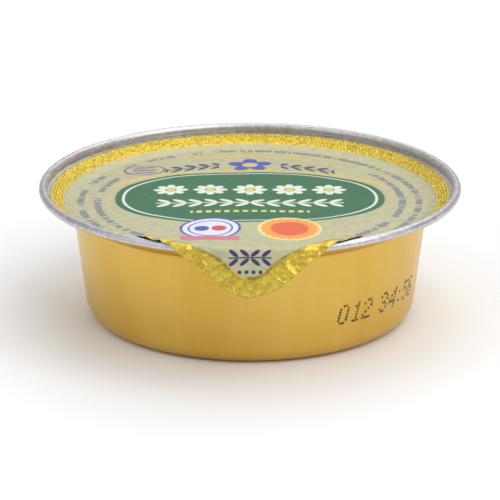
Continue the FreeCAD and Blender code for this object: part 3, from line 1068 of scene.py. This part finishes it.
@dataclass
class Cup:
    """Drawn foil cup with its flange and rolled rim, turned from one section."""

    sizes: Measures
    segments: int = 400
    waviness: float = 0.05         # millimetres by which the drawn wall strays from round
    wave_round: float = 1.6        # radius of the round that the stray's noise is read on
    wave_rise: float = 60.0        # change of that noise for each metre of height
    wave_scale: float = 1.3
    wave_fade: float = 2.0         # millimetres in which the stray dies out at the wall's ends
    recess: float = 0.6            # the filling's level below the flange, hidden by the lid
    well_step: float = 0.3         # how far the foil's inner edge stands in from the mouth
    well_fall: float = 0.12
    bare_drop: float = 0.86        # fall from the crown to the lacquer's edge at the rim's widest
    base_points: int = 8
    corner_points: int = 10
    wall_points: int = 22
    neck_points: int = 7
    bead_points: int = 25
    shelf_points: int = 10
    filling_points: int = 6
    seed: int = 11

    def outside(self) -> list[tuple[float, float]]:
        """Section of the base, its corner, the wall and the neck under the flange.

        Returns:
            Points as radius and height, in millimetres.
        """
        size = self.sizes
        lean = size.draft
        foot = size.wall_radius(0.0)
        # the corner's round touches the base and the leaning wall
        middle = (foot + size.corner * math.tan(lean) - size.corner / math.cos(lean), size.corner)
        base = [(radius, 0.0) for radius in np.linspace(0.0, middle[0], self.base_points)[:-1]]
        corner = arc_points(middle, size.corner, -math.pi / 2, -lean, self.corner_points)
        # the neck's round touches the wall and the flange's underside
        wall_turn, flange_turn = math.pi - lean, math.pi / 2 + size.flange_slope
        toward = (wall_turn + flange_turn) / 2 - math.pi
        far = size.neck / math.cos((wall_turn - flange_turn) / 2)
        neck_middle = (size.mouth + far * math.cos(toward), size.underside + far * math.sin(toward))
        neck = arc_points(neck_middle, size.neck, wall_turn, flange_turn, self.neck_points)
        low, high = corner[-1], neck[0]
        wall = [(low[0] + (high[0] - low[0]) * part, low[1] + (high[1] - low[1]) * part)
                for part in np.linspace(0, 1, self.wall_points)[1:-1]]
        return base + corner + wall + neck

    def topside(self) -> list[tuple[float, float]]:
        """Section of the rolled rim, the flange's top and the filling under the lid.

        Returns:
            Points as radius and height, in millimetres.
        """
        size = self.sizes
        top_turn = math.acos((size.bead - size.flange_thickness) / size.bead)
        first = size.flange_slope - math.pi / 2
        last = math.tau + first - top_turn
        bead = arc_points(size.bead_middle, size.bead, first, last, self.bead_points)
        shelf = [(radius, size.seat + (radius - size.mouth) * size.climb)
                 for radius in np.linspace(bead[-1][0] - 0.1, size.mouth, self.shelf_points)]
        level = size.seat - self.recess
        well = [(size.mouth - self.well_step, size.seat - self.well_fall),
                (size.mouth - self.well_step * 2, level)]
        filling = [(radius, level) for radius in np.linspace(size.mouth - 1.0, 0.0, self.filling_points)]
        return bead + shelf + well + filling

    def strayed(self, made: Recipe, radius: Value, up: Value, east: Value, north: Value) -> Value:
        """Radius of the wall where it strays from round, fading out at its foot and top.

        Args:
            made: The tree to add the nodes to.
            radius: Radius of the section.
            up: Height of the section.
            east: Cosine of the turn about the upright axis.
            north: Sine of that turn.

        Returns:
            The radius.
        """
        where = made.join(east * self.wave_round, north * self.wave_round,
                          up * self.wave_rise + made.given("Seed"))
        stray = (made.cloud(where, self.wave_scale) - 0.5) * 2.0 * made.given("Waviness")
        from_foot = made.step((up - made.given("Wall foot")) / made.given("Fade"), 0.0, 1.0)
        from_top = made.step((made.given("Wall top") - up) / made.given("Fade"), 0.0, 1.0)
        return radius + stray * from_foot * from_top

    def recipe(self, gold: bpy.types.Material, bare: bpy.types.Material) -> Recipe:
        """Geometry nodes that turn the section about the upright axis and dress it.

        Args:
            gold: Finish of the base, the wall and the flange's underside.
            bare: Finish of the rolled rim and the flange's top.

        Returns:
            The tree.
        """
        size = self.sizes
        inputs = {"Segments": self.segments, "Waviness": self.waviness * MM, "Seed": self.seed,
                  "Lacquer line": (size.crown - self.bare_drop - size.rim * size.climb) * MM,
                  "Wall foot": size.corner * MM, "Wall top": (size.underside - size.neck) * MM,
                  "Fade": self.wave_fade * MM, "Climb": size.climb, "Gold": gold, "Bare": bare}
        made = Recipe("turned_cup", inputs)
        count = made.value(made.node("GeometryNodeAttributeDomainSize", None, {0: made.geometry()}),
                           "Point Count")
        grid = made.node("GeometryNodeMeshGrid", None,
                         {"Size X": 1.0, "Size Y": 1.0, "Vertices X": made.given("Segments") + 1.0,
                          "Vertices Y": count})
        column, row, _ = made.split(made.position())
        turn = (column + 0.5) * math.tau
        sample = made.node("GeometryNodeSampleIndex", {"data_type": "FLOAT_VECTOR"},
                           {"Geometry": made.geometry(), "Value": made.position(),
                            "Index": made.math("ROUND", (row + 0.5) * (count - 1.0))})
        radius, _, up = made.split(sample.outputs["Value"])
        east, north = made.math("COSINE", turn), made.math("SINE", turn)
        radius = self.strayed(made, radius, up, east, north)
        placed = made.node("GeometryNodeSetPosition", None,
                           {"Geometry": grid.outputs["Mesh"],
                            "Position": made.join(radius * east, radius * north, up)})
        merged = made.node("GeometryNodeMergeByDistance", None,
                           {"Geometry": placed.outputs[0], "Distance": 0.001 * MM})
        smooth = made.node("GeometryNodeSetShadeSmooth", None, {"Geometry": merged.outputs[0]})
        across, along, level = made.split(made.position())
        above = level - made.length(across, along) * made.given("Climb")
        out = made.math("GREATER_THAN", above, made.given("Lacquer line"))
        gilded = made.dress(made.real(smooth.outputs[0]), "Gold")
        made.close(made.dress(gilded, "Bare", out))
        return made

    def build(self) -> bpy.types.Object:
        """Make the cup.

        Returns:
            The piece.
        """
        section = self.outside() + self.topside()
        points = [(radius * MM, 0.0, height * MM) for radius, height in section]
        mesh = bpy.data.meshes.new("foil_cup")
        mesh.from_pydata(points, [(n, n + 1) for n in range(len(points) - 1)], [])
        piece = new_piece("foil_cup", mesh)
        self.recipe(GoldLacquer().material(), BareFoil().material()).run(piece)
        return settle(piece, Node.CUP)


def ramp(number: np.ndarray, start: float, end: float) -> np.ndarray:
    """Smooth step from 0 at start to 1 at end.

    Args:
        number: The numbers.
        start: Where the step begins.
        end: Where it is done.

    Returns:
        Numbers from 0 to 1.
    """
    part = np.clip((number - start) / (end - start), 0.0, 1.0)
    return part * part * (3 - 2 * part)


@dataclass(frozen=True)
class Rumple:
    """Random relief over the flat foil, in millimetres."""

    size: float                    # width of a hump, or distance from ridge to ridge
    depth: float
    seed: float


@dataclass
class Lid:
    """Printed foil lid: a shallow dish on the flange, over the rim in front and down as a tab.

    Insets are millimetres outside the cut of the foil, negative inside it.
    """

    sizes: Measures
    tip: float = 6.0               # radius of the tab's round end
    bend: float = 0.8              # radius of the fold over the rim
    gap: float = 0.15              # between the rim and the hanging tab
    flare: float = math.radians(9)
    corner_flare: float = math.radians(15)
    flare_reach: float = 11.0      # half width at which the tab's corners flare by corner_flare
    flare_most: float = 1.3
    fold_curve: float = 0.55       # share of the rim's own curve that the fold line keeps
    fold_reach: float = 20.0       # half width past which the fold line is straight
    lift: float = 0.02             # clearance under the foil
    half_fan: float = math.radians(47)   # half the angle in which the spokes stand closer
    tab_spokes: int = 220
    other_spokes: int = 190
    inner_rings: int = 26
    outer_rings: int = 40
    inner_radius: float = 23.6
    nick: float = 0.07             # unevenness of the cut, and what the tab's edge has more
    tab_nick: float = 0.4
    nick_pitch: float = 9.0
    nick_fan: Band = (math.radians(28), math.radians(20))
    dish_bend: float = 0.3         # softness of the bend where the flange starts
    dome: float = 0.45             # rise of the filling under the lid's middle
    climb_end: float = 28.0        # radius at which the foil is up over the rim
    climb_start: float = 26.9      # radius at which it leaves the flange, less on the tab
    climb_early: float = 2.1
    early_band: Band = (0.4, 3.0)
    tab_band: Band = (0.02, 0.7)
    hanging_band: Band = (-0.6, 1.6)
    fringe_band: Band = (-3.4, -0.3)     # insets of the crumpled edge
    fringe_start: Band = (20.5, 25.5)    # how far towards the tab it begins
    rim_start: Band = (19.0, 21.0)
    calm_band: Band = (24.2, 21.0)
    ruffle: float = 0.28
    ruffle_length: float = 3.1
    pleat: float = 0.34
    lifted: float = 0.16           # how far the crumpled edge stands up before the fold
    seam: float = 0.16             # depth of the pressed line along the tab's edge
    seam_inset: float = -2.7
    seam_width: float = 0.3
    seam_least: float = 0.7        # depth of that line, as a share, where the warp adds nothing
    flat_fringe: float = 0.45      # share of the crumpling that is left before the fold
    press: float = 0.01            # how far the crumpled foil may sink before the fold
    press_end: float = 0.3         # flat distance past the fold up to which it may not sink more
    warp: Rumple = Rumple(2.6, 1.0, 9.0)
    ruffle_warp: float = 3.6       # radians by which the warp shifts the ruffles
    long_pleats: Rumple = Rumple(2.0, 0.55, 3.0)
    short_pleats: Rumple = Rumple(1.0, 0.25, 5.0)
    cross_pleats: Rumple = Rumple(2.3, 0.3, 4.0)
    tab_sag: Rumple = Rumple(5.2, 0.3, 1.0)
    tab_creases: Rumple = Rumple(4.2, 0.07, 2.0)
    dish_swell: Rumple = Rumple(11.0, 0.24, 6.0)
    dish_ripples: Rumple = Rumple(4.6, 0.06, 7.0)
    seed: float = 4.7

    @property
    def seat(self) -> float:
        """Height of the printed face's flat middle."""
        return self.sizes.seat + self.lift + self.sizes.foil

    @property
    def top(self) -> float:
        """Height of the printed face over the rim."""
        return self.sizes.crown + self.lift + self.sizes.foil

    @property
    def crest(self) -> float:
        """Distance from the middle at which the fold starts, on the tab's middle line."""
        return self.sizes.rim + self.gap - self.bend

    @property
    def outline(self) -> Outline:
        """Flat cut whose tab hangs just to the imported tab's end.

        Returns:
            The cut.
        """
        turn = math.pi / 2 - self.flare
        drop = self.top - self.sizes.tab_end - self.bend * (1 - math.cos(turn))
        end = self.crest + self.bend * turn + drop / math.sin(turn)
        return Outline(lid=self.sizes.lid, tip=self.tip, reach=end - self.tip)

    def flat_points(self) -> tuple[np.ndarray, np.ndarray, int]:
        """Points of the flat foil: the middle, then rings of spokes out to the cut.

        Returns:
            Places across and along the tab in millimetres, and the number of spokes.
        """
        fan = self.half_fan
        turns = np.concatenate([
            np.linspace(-fan, fan, self.tab_spokes, endpoint=False),
            np.linspace(fan, math.tau - fan, self.other_spokes, endpoint=False)])
        signed = (turns + math.pi) % math.tau - math.pi
        pitch = self.nick_pitch
        nick = np.array([noise.noise(Vector((math.sin(turn) * pitch, math.cos(turn) * pitch, self.seed)))
                         for turn in signed])
        torn = ramp(np.abs(signed), *self.nick_fan)
        outline = self.outline
        edge = np.array([outline.edge(turn) for turn in signed]) + nick * (self.nick + torn * self.tab_nick)
        inner = np.linspace(0, 1, self.inner_rings + 1)[1:, None] * self.inner_radius * np.ones(len(edge))
        steps = np.linspace(0, 1, self.outer_rings + 1)[1:, None]
        outer = self.inner_radius + steps * (edge - self.inner_radius)
        radius = np.vstack([inner, outer])
        across = np.append(0.0, (radius * np.sin(signed)).ravel())
        along = np.append(0.0, (radius * np.cos(signed)).ravel())
        return across, along, len(edge)

    def humps(self, across: np.ndarray, along: np.ndarray, relief: Rumple) -> np.ndarray:
        """Smooth random numbers over the flat foil.

        Args:
            across: Places across the tab, in millimetres.
            along: Places along the tab, in millimetres.
            relief: Its size and seed.

        Returns:
            Numbers from -1 to 1.
        """
        places = zip(across / relief.size, along / relief.size)
        return np.array([noise.noise(Vector((x, y, self.seed + relief.seed))) for x, y in places])

    def ripples(self, across: np.ndarray, along: np.ndarray, relief: Rumple) -> np.ndarray:
        """Heights of smooth humps and hollows, in millimetres."""
        return self.humps(across, along, relief) * relief.depth

    def creases(self, across: np.ndarray, along: np.ndarray, relief: Rumple) -> np.ndarray:
        """Heights of sharp ridges with plain slopes between them, in millimetres."""
        return (1 - 4 * np.abs(self.humps(across, along, relief))) * relief.depth

    def pleats(self, across: np.ndarray, along: np.ndarray, inset: np.ndarray,
               warp: np.ndarray) -> np.ndarray:
        """Ruffles and sharp pleats that run across the tab's edge.

        Args:
            across: Places across the tab, in millimetres.
            along: Places along the tab, in millimetres.
            inset: Distances outside the cut.
            warp: Random field that shifts the ruffles.

        Returns:
            Distances in millimetres, along the printed side.
        """
        run = self.outline.run(across, along)
        ruffles = np.sin(run * math.tau / self.ruffle_length + warp * self.ruffle_warp)
        # the places off the edge are squeezed, so that the pleats run out to it
        pleats = self.creases(run, inset * 0.4, self.long_pleats)
        pleats += self.creases(run, inset * 0.6, self.short_pleats)
        pleats += self.creases(across, along, self.cross_pleats)
        return ruffles * self.ruffle + pleats * self.pleat

    def crumple(self, across: np.ndarray, along: np.ndarray, past_fold: np.ndarray) -> np.ndarray:
        """How far the handled foil stands off its smooth shape.

        Args:
            across: Places across the tab, in millimetres.
            along: Places along the tab, in millimetres.
            past_fold: Flat distance past the start of the fold.

        Returns:
            Distances in millimetres, along the printed side.
        """
        inset = self.outline.inset(across, along, np.hypot, np.less)
        hanging = ramp(past_fold, *self.hanging_band)
        fringe = ramp(inset, *self.fringe_band) * ramp(along, *self.fringe_start)
        warp = self.ripples(across, along, self.warp)
        stand = fringe * self.pleats(across, along, inset, warp)
        stand = stand * (self.flat_fringe + (1 - self.flat_fringe) * hanging)
        sag = self.ripples(across, along, self.tab_sag) + self.creases(across, along, self.tab_creases)
        seam = np.exp(-((inset - self.seam_inset) / self.seam_width) ** 2)
        stand = stand + hanging * sag - seam * hanging * (self.seam_least + warp) * self.seam
        on_rim = np.maximum(stand, -self.press) + fringe * self.lifted * (1 - hanging)
        on_rim = on_rim * ramp(along, *self.rim_start)
        dish = self.ripples(across, along, self.dish_swell) + self.ripples(across, along, self.dish_ripples)
        calm = ramp(np.hypot(across, along), *self.calm_band)
        return np.where(past_fold > self.press_end, stand, on_rim) + calm * dish

    def dished(self, radius: np.ndarray) -> np.ndarray:
        """Height of the printed face where it lies on the filling and the flange.

        Args:
            radius: Distances from the lid's middle, in millimetres.

        Returns:
            Heights in millimetres.
        """
        size = self.sizes
        out = (np.minimum(radius, size.rim - size.bead) - size.mouth) / self.dish_bend
        # log(1 + e^out) bends softly from 0 to out, and the limit keeps e^out from overflowing
        soft = np.log1p(np.exp(np.minimum(out, 30.0))) * self.dish_bend
        domed = self.dome * np.maximum(1 - (radius / size.mouth) ** 2, 0.0)
        return self.seat + soft * size.climb + domed

    def climbed(self, across: np.ndarray, along: np.ndarray) -> np.ndarray:
        """Height of the printed face before the fold, from the dish up over the rim on the tab.

        Args:
            across: Places across the tab, in millimetres.
            along: Places along the tab, in millimetres.

        Returns:
            Heights in millimetres.
        """
        outline = self.outline
        radius = np.hypot(across, along)
        dished = self.dished(radius)
        edge = np.array([outline.edge(turn) for turn in np.arctan2(across, along)])
        beyond = edge - self.sizes.lid
        start = self.climb_start - self.climb_early * ramp(beyond, *self.early_band)
        part = (radius - start) / (self.climb_end - start)
        climb = ramp(part, 0.0, 1.0) * ramp(beyond, *self.tab_band)
        return dished + climb * (self.top - dished)

    def fold(self, across: np.ndarray, along: np.ndarray) -> np.ndarray:
        """Places in the row frame of points of the flat foil.

        Args:
            across: Places across the tab, in millimetres.
            along: Places along the tab, in millimetres.

        Returns:
            Rows of x, y and z in millimetres.
        """
        rim = self.sizes.rim
        off = np.abs(across)
        sag = rim - np.sqrt(rim ** 2 - np.minimum(off, self.fold_reach) ** 2)
        crest = self.crest - self.fold_curve * sag
        past = along - crest
        flare = self.corner_flare * np.minimum(off / self.flare_reach, self.flare_most) ** 2
        most = math.pi / 2 - self.flare - flare
        turn = np.clip(past / self.bend, 0.0, most)
        hang = np.maximum(past - self.bend * most, 0.0) * (past > 0)
        reach = np.minimum(along, crest) + self.bend * np.sin(turn) + hang * np.cos(turn)
        level = self.climbed(across, along) - self.bend * (1 - np.cos(turn)) - hang * np.sin(turn)
        stand = self.crumple(across, along, past)
        return np.column_stack([across, -(reach + stand * np.sin(turn)), level + stand * np.cos(turn)])

    def flat_mesh(self) -> bpy.types.Mesh:
        """Printed face as a folded sheet, with its place on the flat foil as its print map.

        Returns:
            The mesh.
        """
        across, along, spokes = self.flat_points()
        faces = [(0, 1 + spoke, 1 + (spoke + 1) % spokes) for spoke in range(spokes)]
        for ring in range(self.inner_rings + self.outer_rings - 1):
            start = 1 + ring * spokes
            for spoke in range(spokes):
                after = (spoke + 1) % spokes
                faces.append((start + spoke, start + spokes + spoke, start + spokes + after, start + after))
        mesh = bpy.data.meshes.new("printed_lid")
        mesh.from_pydata((self.fold(across, along) * MM).tolist(), [], faces)
        layer = mesh.uv_layers.new(name=PRINT_MAP)
        corners = np.empty(len(mesh.loops), dtype=np.int32)
        mesh.loops.foreach_get("vertex_index", corners)
        flat = np.column_stack([across, -along]) * MM / FLAT_SPAN + 0.5
        layer.data.foreach_set("uv", flat[corners].ravel())
        mesh.shade_smooth()
        return mesh

    def build(self, printed: bpy.types.Material) -> bpy.types.Object:
        """Make the lid.

        Args:
            printed: Finish of the printed face.

        Returns:
            The piece.
        """
        mesh = self.flat_mesh()
        mesh.materials.append(printed)
        mesh.materials.append(BareFoil().material())
        piece = new_piece("printed_lid", mesh)
        wall = piece.modifiers.new("foil", "SOLIDIFY")
        wall.thickness = self.sizes.foil * MM
        wall.offset = -1.0
        wall.material_offset = 1
        wall.material_offset_rim = 1
        plain_mesh(piece)
        return settle(piece, Node.LID)


@dataclass
class SealKnurl:
    """Rows of small pyramids that the sealing head presses up all round the lid's edge."""

    sizes: Measures
    seat: float                    # height of the printed face where the flange starts
    rows: int = 5
    around: int = 300
    inner_row: float = 25.74
    row_pitch: float = 0.37
    base: float = 0.33             # radius of a pyramid's square
    height: float = 0.14
    sunk: float = 0.02
    lean: float = 0.22             # most that a pyramid leans, as a slope
    twist: float = 0.8             # most that it is turned, in radians
    smallest: float = 0.75
    largest: float = 1.12
    seed: int = 3

    def recipe(self, printed: bpy.types.Material) -> Recipe:
        """Geometry nodes that stand the pyramids on the flange's slope.

        Args:
            printed: Finish of the printed face.

        Returns:
            The tree.
        """
        inputs = {"Rows": self.rows, "Around": self.around, "Inner row": self.inner_row * MM,
                  "Row pitch": self.row_pitch * MM, "Base": self.base * MM, "Height": self.height * MM,
                  "Seat": (self.seat - self.sunk - self.sizes.mouth * self.sizes.climb) * MM,
                  "Climb": self.sizes.climb, "Seed": self.seed, "Print": printed}
        made = Recipe("pressed_knurl", inputs)
        around, climb = made.given("Around"), made.given("Climb")
        index = made.value(made.node("GeometryNodeInputIndex"))
        row = (index / around).floor()
        turn = (index / around + row * 0.5 / around) * math.tau
        radius = made.given("Inner row") + row * made.given("Row pitch")
        east, north = made.math("COSINE", turn), made.math("SINE", turn)
        place = made.join(radius * east, radius * north, made.given("Seat") + radius * climb)
        points = made.node("GeometryNodePoints", None,
                           {"Count": made.given("Rows") * around, "Position": place})
        pyramid = made.node("GeometryNodeMeshCone", {"fill_type": "NONE"},
                            {"Vertices": 4, "Radius Top": 0.0, "Radius Bottom": made.given("Base"),
                             "Depth": made.given("Height")})
        most = (self.lean, self.lean, self.twist)
        least = (-self.lean, -self.lean, -self.twist)
        lean_x, lean_y, twist = made.split(made.spread(least, most))
        upright = made.join(lean_x - east * climb, lean_y - north * climb, 1.0)
        stand = made.node("FunctionNodeAlignRotationToVector", {"axis": "Z"},
                          {"Rotation": made.join(0.0, 0.0, twist + turn), "Vector": upright})
        real = made.stand(points.outputs[0], pyramid.outputs["Mesh"], stand.outputs[0],
                          made.spread(self.smallest, self.largest))
        across, along, _ = made.split(made.position())
        flat = made.join(across / FLAT_SPAN + 0.5, along / FLAT_SPAN + 0.5, 0.0)
        mapped = made.node("GeometryNodeStoreNamedAttribute",
                           {"data_type": "FLOAT2", "domain": "CORNER"},
                           {"Geometry": real, "Name": PRINT_MAP, "Value": flat})
        made.close(made.dress(mapped.outputs[0], "Print"))
        return made

    def build(self, printed: bpy.types.Material) -> bpy.types.Object:
        """Make the knurl.

        Args:
            printed: Finish of the printed face.

        Returns:
            The piece.
        """
        piece = new_piece("seal_knurl", bpy.data.meshes.new("seal_knurl"))
        self.recipe(printed).run(piece)
        return settle(piece, None)


@dataclass
class DateCode:
    """Plain numbers in sprayed ink dots on the wall, to the right of the tab."""

    sizes: Measures
    text: str = "012 34:56"
    dot: float = 0.2               # radius of a dot
    dot_sides: int = 10
    smallest: float = 0.8
    largest: float = 1.15
    dot_pitch: float = 0.41
    space: float = 1.0             # dots left between digits
    slant: float = 0.22
    start: float = math.radians(30)
    base_line: float = 4.9
    rise: float = 0.008            # of the ink above the wall
    seed: int = 5
    glyphs: dict[str, str] = field(default_factory=lambda: {
        "0": ".##. #..# #..# #..# #..# #..# .##.",
        "1": "..#. .##. ..#. ..#. ..#. ..#. .###",
        "2": ".##. #..# ...# ..#. .#.. #... ####",
        "3": ".##. #..# ...# .##. ...# #..# .##.",
        "4": "...# ..## .#.# #..# #### ...# ...#",
        "5": "#### #... ###. ...# ...# #..# .##.",
        "6": ".##. #... #... ###. #..# #..# .##.",
        ":": "... ... .#. ... ... .#. ...",
        " ": ".. .. .. .. .. .. .."})

    def dots(self) -> list[tuple[float, float, float]]:
        """Places of the dots on an upright round as wide as the rim, outside the wall.

        Returns:
            Points in metres.
        """
        places = []
        column = 0.0
        middle_row = 3
        reach = self.sizes.rim
        wall = self.sizes.wall_radius(self.base_line + middle_row * self.dot_pitch)
        for letter in self.text:
            rows = self.glyphs[letter].split()
            for level, row in enumerate(reversed(rows)):
                for step, mark in enumerate(row):
                    if mark == "#":
                        run = (column + step) * self.dot_pitch + level * self.dot_pitch * self.slant
                        turn = self.start + run / wall - math.pi / 2
                        height = self.base_line + level * self.dot_pitch
                        places.append((reach * math.cos(turn) * MM, reach * math.sin(turn) * MM,
                                       height * MM))
            column += len(rows[0]) + self.space
        return places

    def recipe(self, cup: bpy.types.Object) -> Recipe:
        """Geometry nodes that move the places in to the wall and lay a dot on each.

        Args:
            cup: The cup that carries the dots.

        Returns:
            The tree.
        """
        inputs = {"Cup": cup, "Dot": self.dot * MM, "Rise": self.rise * MM, "Reach": self.sizes.rim * MM,
                  "Seed": self.seed, "Ink": DotInk().material()}
        made = Recipe("ink_dots", inputs)
        across, along, _ = made.split(made.position())
        wall = made.node("GeometryNodeObjectInfo", None, {"Object": made.entry.outputs["Cup"]})
        found = made.node("GeometryNodeRaycast", None,
                          {"Target Geometry": wall.outputs["Geometry"],
                           "Ray Direction": made.join(-across, -along, 0.0),
                           "Ray Length": made.given("Reach")})
        offset = made.node("ShaderNodeVectorMath", {"operation": "SCALE"},
                           {0: found.outputs["Hit Normal"], "Scale": made.given("Rise")})
        on_wall = made.node("ShaderNodeVectorMath", {"operation": "ADD"},
                            {0: found.outputs["Hit Position"], 1: offset.outputs[0]})
        face = made.node("FunctionNodeAlignRotationToVector", {"axis": "Z"},
                         {"Vector": found.outputs["Hit Normal"]})
        kept = made.node("GeometryNodeCaptureAttribute")
        kept.capture_items.new("ROTATION", "Face")
        made.feed(kept.inputs["Geometry"], made.geometry())
        made.feed(kept.inputs["Face"], face.outputs[0])
        moved = made.node("GeometryNodeSetPosition", None,
                          {"Geometry": kept.outputs["Geometry"], "Position": on_wall.outputs[0]})
        dot = made.node("GeometryNodeMeshCircle", {"fill_type": "NGON"},
                        {"Vertices": self.dot_sides, "Radius": made.given("Dot")})
        real = made.stand(moved.outputs[0], dot.outputs[0], kept.outputs["Face"],
                          made.spread(self.smallest, self.largest))
        made.close(made.dress(real, "Ink"))
        return made

    def build(self, cup: bpy.types.Object) -> bpy.types.Object:
        """Make the dots, laid on the wall.

        Args:
            cup: The cup that carries them.

        Returns:
            The piece.
        """
        mesh = bpy.data.meshes.new("date_code")
        mesh.from_pydata(self.dots(), [], [])
        piece = new_piece("date_code", mesh)
        self.recipe(cup).run(piece)
        return settle(piece, None)


# ---------------------------------------------------------------- studio


@dataclass(frozen=True)
class SoftBox:
    """Square soft light aimed at the pack. Its angles are in degrees."""

    name: str
    azimuth: float                 # from the front, positive to the right
    elevation: float
    distance: float
    side: float
    watts: float
    tint: Colour = (1.0, 1.0, 1.0)


@dataclass
class Studio:
    """Plain pale floor, soft lights and the camera, in metres."""

    azimuth: float = 0.0
    elevation: float = 18.9
    distance: float = 0.385
    lens: float = 200.0
    near: float = 0.01             # nearest distance that the camera sees
    aim: tuple[float, float, float] = (0.0, -0.0005, 0.0086)
    floor_half: float = 4.0
    sky: Colour = (0.93, 0.95, 1.0)
    sky_strength: float = 0.56
    boxes: tuple[SoftBox, ...] = (
        SoftBox("key", 52.0, 52.0, 0.9, 0.9, 4.4, (1.0, 0.98, 0.95)),
        SoftBox("back", 165.0, 58.0, 0.9, 0.9, 3.0),
        SoftBox("fill", -60.0, 40.0, 1.0, 0.8, 1.5))

    def aimed(self, name: str, data: Any, azimuth: float, elevation: float,
              distance: float) -> bpy.types.Object:
        """Stand a light or the camera off the pack, turned towards it.

        Args:
            name: Name of the object.
            data: The light's or camera's data.
            azimuth: Degrees from the front, positive to the right.
            elevation: Degrees above the floor.
            distance: Distance from the aim.

        Returns:
            The object, linked to the scene.
        """
        side, up = math.radians(azimuth), math.radians(elevation)
        way = Vector((math.sin(side) * math.cos(up), -math.cos(side) * math.cos(up), math.sin(up)))
        made = new_piece(name, data)
        made.location = Vector(self.aim) + way * distance
        made.rotation_euler = (Vector(self.aim) - made.location).to_track_quat("-Z", "Y").to_euler()
        return made

    def floor(self) -> None:
        """Make the floor, which is not part of the pack."""
        made = Surface("pale_floor")
        across, along, _ = made.place()
        grain = made.cloud(made.join(across, along, 0.0), 0.02)
        tint = made.blend(grain, srgb(244, 244, 244), srgb(247, 247, 247))
        material = made.finish({"Base Color": tint, "Roughness": 0.7})
        half = self.floor_half
        mesh = bpy.data.meshes.new("studio_floor")
        mesh.from_pydata([(-half, -half, 0), (half, -half, 0), (half, half, 0), (-half, half, 0)], [],
                         [(0, 1, 2, 3)])
        mesh.materials.append(material)
        new_piece("studio_floor", mesh)

    def light(self, box: SoftBox) -> None:
        """Make one light.

        Args:
            box: Where it stands and what it gives.
        """
        data = bpy.data.lights.new(box.name, "AREA")
        data.size = box.side
        data.energy = box.watts
        data.color = box.tint
        self.aimed(box.name, data, box.azimuth, box.elevation, box.distance)

    def camera(self) -> None:
        """Make the camera and give it to the scene."""
        data = bpy.data.cameras.new("camera")
        data.lens = self.lens
        data.clip_start = self.near
        camera = self.aimed("camera", data, self.azimuth, self.elevation, self.distance)
        bpy.context.scene.camera = camera

    def build(self) -> None:
        """Set up the floor, the sky, the lights and the camera."""
        scene = bpy.context.scene
        world = bpy.data.worlds.new("studio")
        world.use_nodes = True
        sky = world.node_tree.nodes["Background"]
        sky.inputs["Color"].default_value = (*self.sky, 1.0)
        sky.inputs["Strength"].default_value = self.sky_strength
        scene.world = world
        scene.view_settings.view_transform = "Standard"
        self.floor()
        for box in self.boxes:
            self.light(box)
        self.camera()


def main() -> None:
    """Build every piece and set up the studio."""
    logging.basicConfig(level=logging.INFO, format="%(message)s")
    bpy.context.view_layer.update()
    sizes = Measures.from_frame()
    cup = Cup(sizes).build()
    lid = Lid(sizes)
    printed = LidPrint(lid.outline).material()
    lid.build(printed)
    SealKnurl(sizes, lid.seat).build(printed)
    DateCode(sizes).build(cup)
    Studio().build()


if __name__ == "__main__":
    main()
